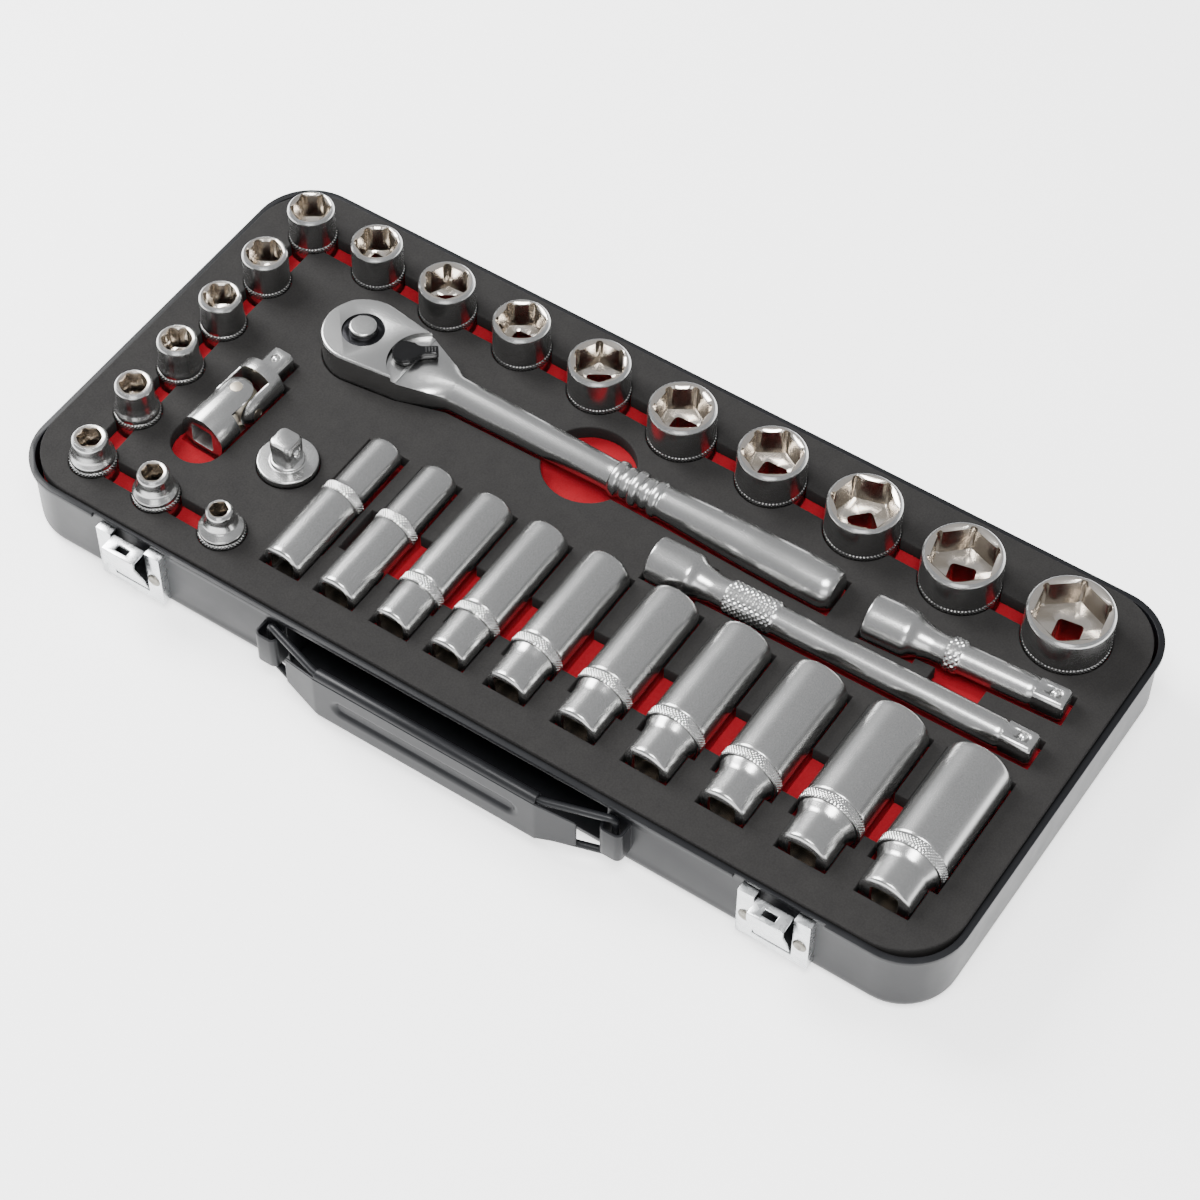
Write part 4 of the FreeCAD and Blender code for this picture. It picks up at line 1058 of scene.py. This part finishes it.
# %% Release button
place = Matrix.Translation(Vector((RATCHET["x"], RATCHET["y"], RATCHET["z"] + RATCHET["half"])) * MM)
profile = [(0.9, -12.5), (1.6, -11.8), (1.6, -3.0), (4.4, -3.0), (5.1, -2.6),
           (5.1, 2.2), (4.6, 2.55), (2.0, 2.6), (0.4, 2.6)]
mesh = bmesh.new()
skin(mesh, round_rings(profile, 0.3, 4), place, 64, cap_start=True, cap_end=True)
button = make_piece("ratchet_button", mesh, (SATIN_CHROME,))
dress(button, "ratchet_button", ["ratchet_release_button"])
print("button turned")


# %% Reversing lever
def keyhole(hub, tail, reach, inset):
    """Outline of a round hub with a slim tail along X that leaves it in a fillet."""
    hub, tail, reach = hub - inset, tail - inset, reach - inset

    def inside(radius, turn):
        along, beside = radius * math.cos(turn), radius * math.sin(turn)
        waist = tail + 2.6 * math.exp(-max(0.0, along - 3.4) / 1.1)
        return along < reach - 0.25 * (beside / tail) ** 4 and beside < waist

    def outline(angle):
        turn = abs((angle + math.pi) % (2 * math.pi) - math.pi)
        if turn > 0.9:
            return hub
        low, high = hub, reach + 1
        for step in range(24):
            middle = (low + high) / 2
            low, high = (middle, high) if inside(middle, turn) else (low, middle)
        return low
    return outline


lever_base = RATCHET["z"] + RATCHET["half"] - 2.5 + 0.1
turn = Matrix.Rotation(math.radians(38), 4, "Z")
place = Matrix.Translation(Vector((-97.3, RATCHET["y"], lever_base)) * MM) @ turn
layers = [(0.0, 0.35), (0.25, 0.0), (1.2, 0.0), (1.35, 0.25),
          (1.55, 0.25), (1.7, 0.0), (2.7, 0.0), (3.0, 0.35)]
rings = [(height, keyhole(4.9, 1.9, 12.0, inset)) for height, inset in layers]
mesh = bmesh.new()
skin(mesh, rings, place, 180, cap_start=True, cap_end=True)
floor = RATCHET["z"] - RATCHET["half"] + 2.05
skin(mesh, [(floor - lever_base, circle(2.4)), (0.3, circle(2.4))], place, 40, cap_start=True, cap_end=True)
for rib in range(4):
    spot = place @ Matrix.Translation(Vector((7.6 + rib * 1.1, 0, 2.92)) * MM)
    rib_rings = [(-1.5, circle(0.1)), (-1.3, circle(0.28)), (1.3, circle(0.28)), (1.5, circle(0.1))]
    skin(mesh, rib_rings, spot @ Matrix.Rotation(math.radians(90), 4, "X"), 12, cap_start=True, cap_end=True)
lever = make_piece("ratchet_lever", mesh, (GLOSS_ENAMEL,))
dress(lever, "ratchet_lever", ["ratchet_reversing_lever"])
print("lever made")

# %% [markdown]
# ## The universal joint
# Two forks and a cross.  The forks are milled from round bar, so copying the CAD skin and breaking
# its edges generously gives the soft, tumbled look of the real joint.

# %% Forks, cross and ball
broken_copy("joint_front_fork", "joint_socket_fork", "joint_front", SATIN_CHROME, 0.5, 3)
broken_copy("joint_back_fork", "joint_drive_fork", "joint_back", SATIN_CHROME, 0.5, 3)
broken_copy("joint_cross", "joint_cross_block", "joint_cross", GROUND_STEEL, 0.35, 3)
low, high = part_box("joint_ball")
centre = (Vector(low) + Vector(high)) / 2 / MM
make_ball("joint_detent", centre, (0, 0, 1), "joint_ball", "joint_ball")
print("joint dressed")

# %% [markdown]
# ## Floor, light and camera
# A pale seamless floor and three large soft lamps give the calm light of a product shot.  What the
# eye sees in chrome is its surroundings, so the lamps stand where no flat top mirrors them to the
# camera, and the tops stay an even grey.  The floor is a lit acrylic sweep and glows a little.
# The camera is long, about 98 mm, so the case keeps nearly parallel sides.

# %% Pale floor
material, tree, shader, place = start_material("pale lit acrylic sweep", Roughness=0.75)
shader.inputs["Emission Color"].default_value = linear("#ffffff")
shader.inputs["Emission Strength"].default_value = 1.6
patches = add_node(tree, "ShaderNodeTexNoise", values={"Scale": 1 / 0.15, "Detail": 3.0},
                   links={"Vector": place})
floor_colour = blend_colours(tree, patches.outputs["Fac"], "#f4f4f4", "#f8f8f8")
tree.links.new(floor_colour, shader.inputs["Base Color"])
mesh = bmesh.new()
bmesh.ops.create_grid(mesh, x_segments=8, y_segments=8, size=4.0)
floor_piece = make_piece("studio_floor", mesh, (material,))


# %% Soft lamps
def soft_lamp(name, location, target, size, power):
    lamp = bpy.data.lights.new(name, "AREA")
    lamp.shape = "RECTANGLE"
    lamp.size, lamp.size_y = size
    lamp.energy = power
    holder = bpy.data.objects.new(name, lamp)
    bpy.context.scene.collection.objects.link(holder)
    holder.location = location
    aim = Vector(target) - Vector(location)
    holder.rotation_euler = aim.to_track_quat("-Z", "Y").to_euler()
    return holder


soft_lamp("left softbox", (-1.15, 0.15, 1.00), (0, 0, 0), (0.7, 0.9), 46.0)
soft_lamp("overhead softbox", (0.30, -0.50, 1.50), (0, 0, 0), (0.7, 0.6), 32.0)
soft_lamp("front fill", (0.7, -1.4, 0.7), (0, 0, 0.02), (1.0, 0.6), 6.0)
world = bpy.data.worlds.new("soft room")
bpy.context.scene.world = world
world.use_nodes = True
world.node_tree.nodes["Background"].inputs["Color"].default_value = linear("#f2f3f5")
world.node_tree.nodes["Background"].inputs["Strength"].default_value = 0.72
print("lamps set")

# %% Camera
CAMERA_AZIMUTH, CAMERA_ELEVATION, CAMERA_ROLL = math.radians(33.43), math.radians(52.95), math.radians(0.49)
back = Vector((math.sin(CAMERA_AZIMUTH) * math.cos(CAMERA_ELEVATION),
               -math.cos(CAMERA_AZIMUTH) * math.cos(CAMERA_ELEVATION), math.sin(CAMERA_ELEVATION)))
right = Vector((math.cos(CAMERA_AZIMUTH), math.sin(CAMERA_AZIMUTH), 0.0))
up = back.cross(right)
camera_right = right * math.cos(CAMERA_ROLL) + up * math.sin(CAMERA_ROLL)
camera_up = up * math.cos(CAMERA_ROLL) - right * math.sin(CAMERA_ROLL)
lens = bpy.data.cameras.new("product lens")
lens.sensor_width = 36.0
lens.lens = 98.03
lens.clip_start = 0.05
camera = bpy.data.objects.new("camera", lens)
bpy.context.scene.collection.objects.link(camera)
frame_matrix = Matrix((camera_right, camera_up, back)).transposed().to_4x4()
frame_matrix.translation = Vector((0.3953, -0.5891, 0.9386))
camera.matrix_world = frame_matrix
bpy.context.scene.camera = camera
print("camera set at", tuple(round(value, 3) for value in camera.location))
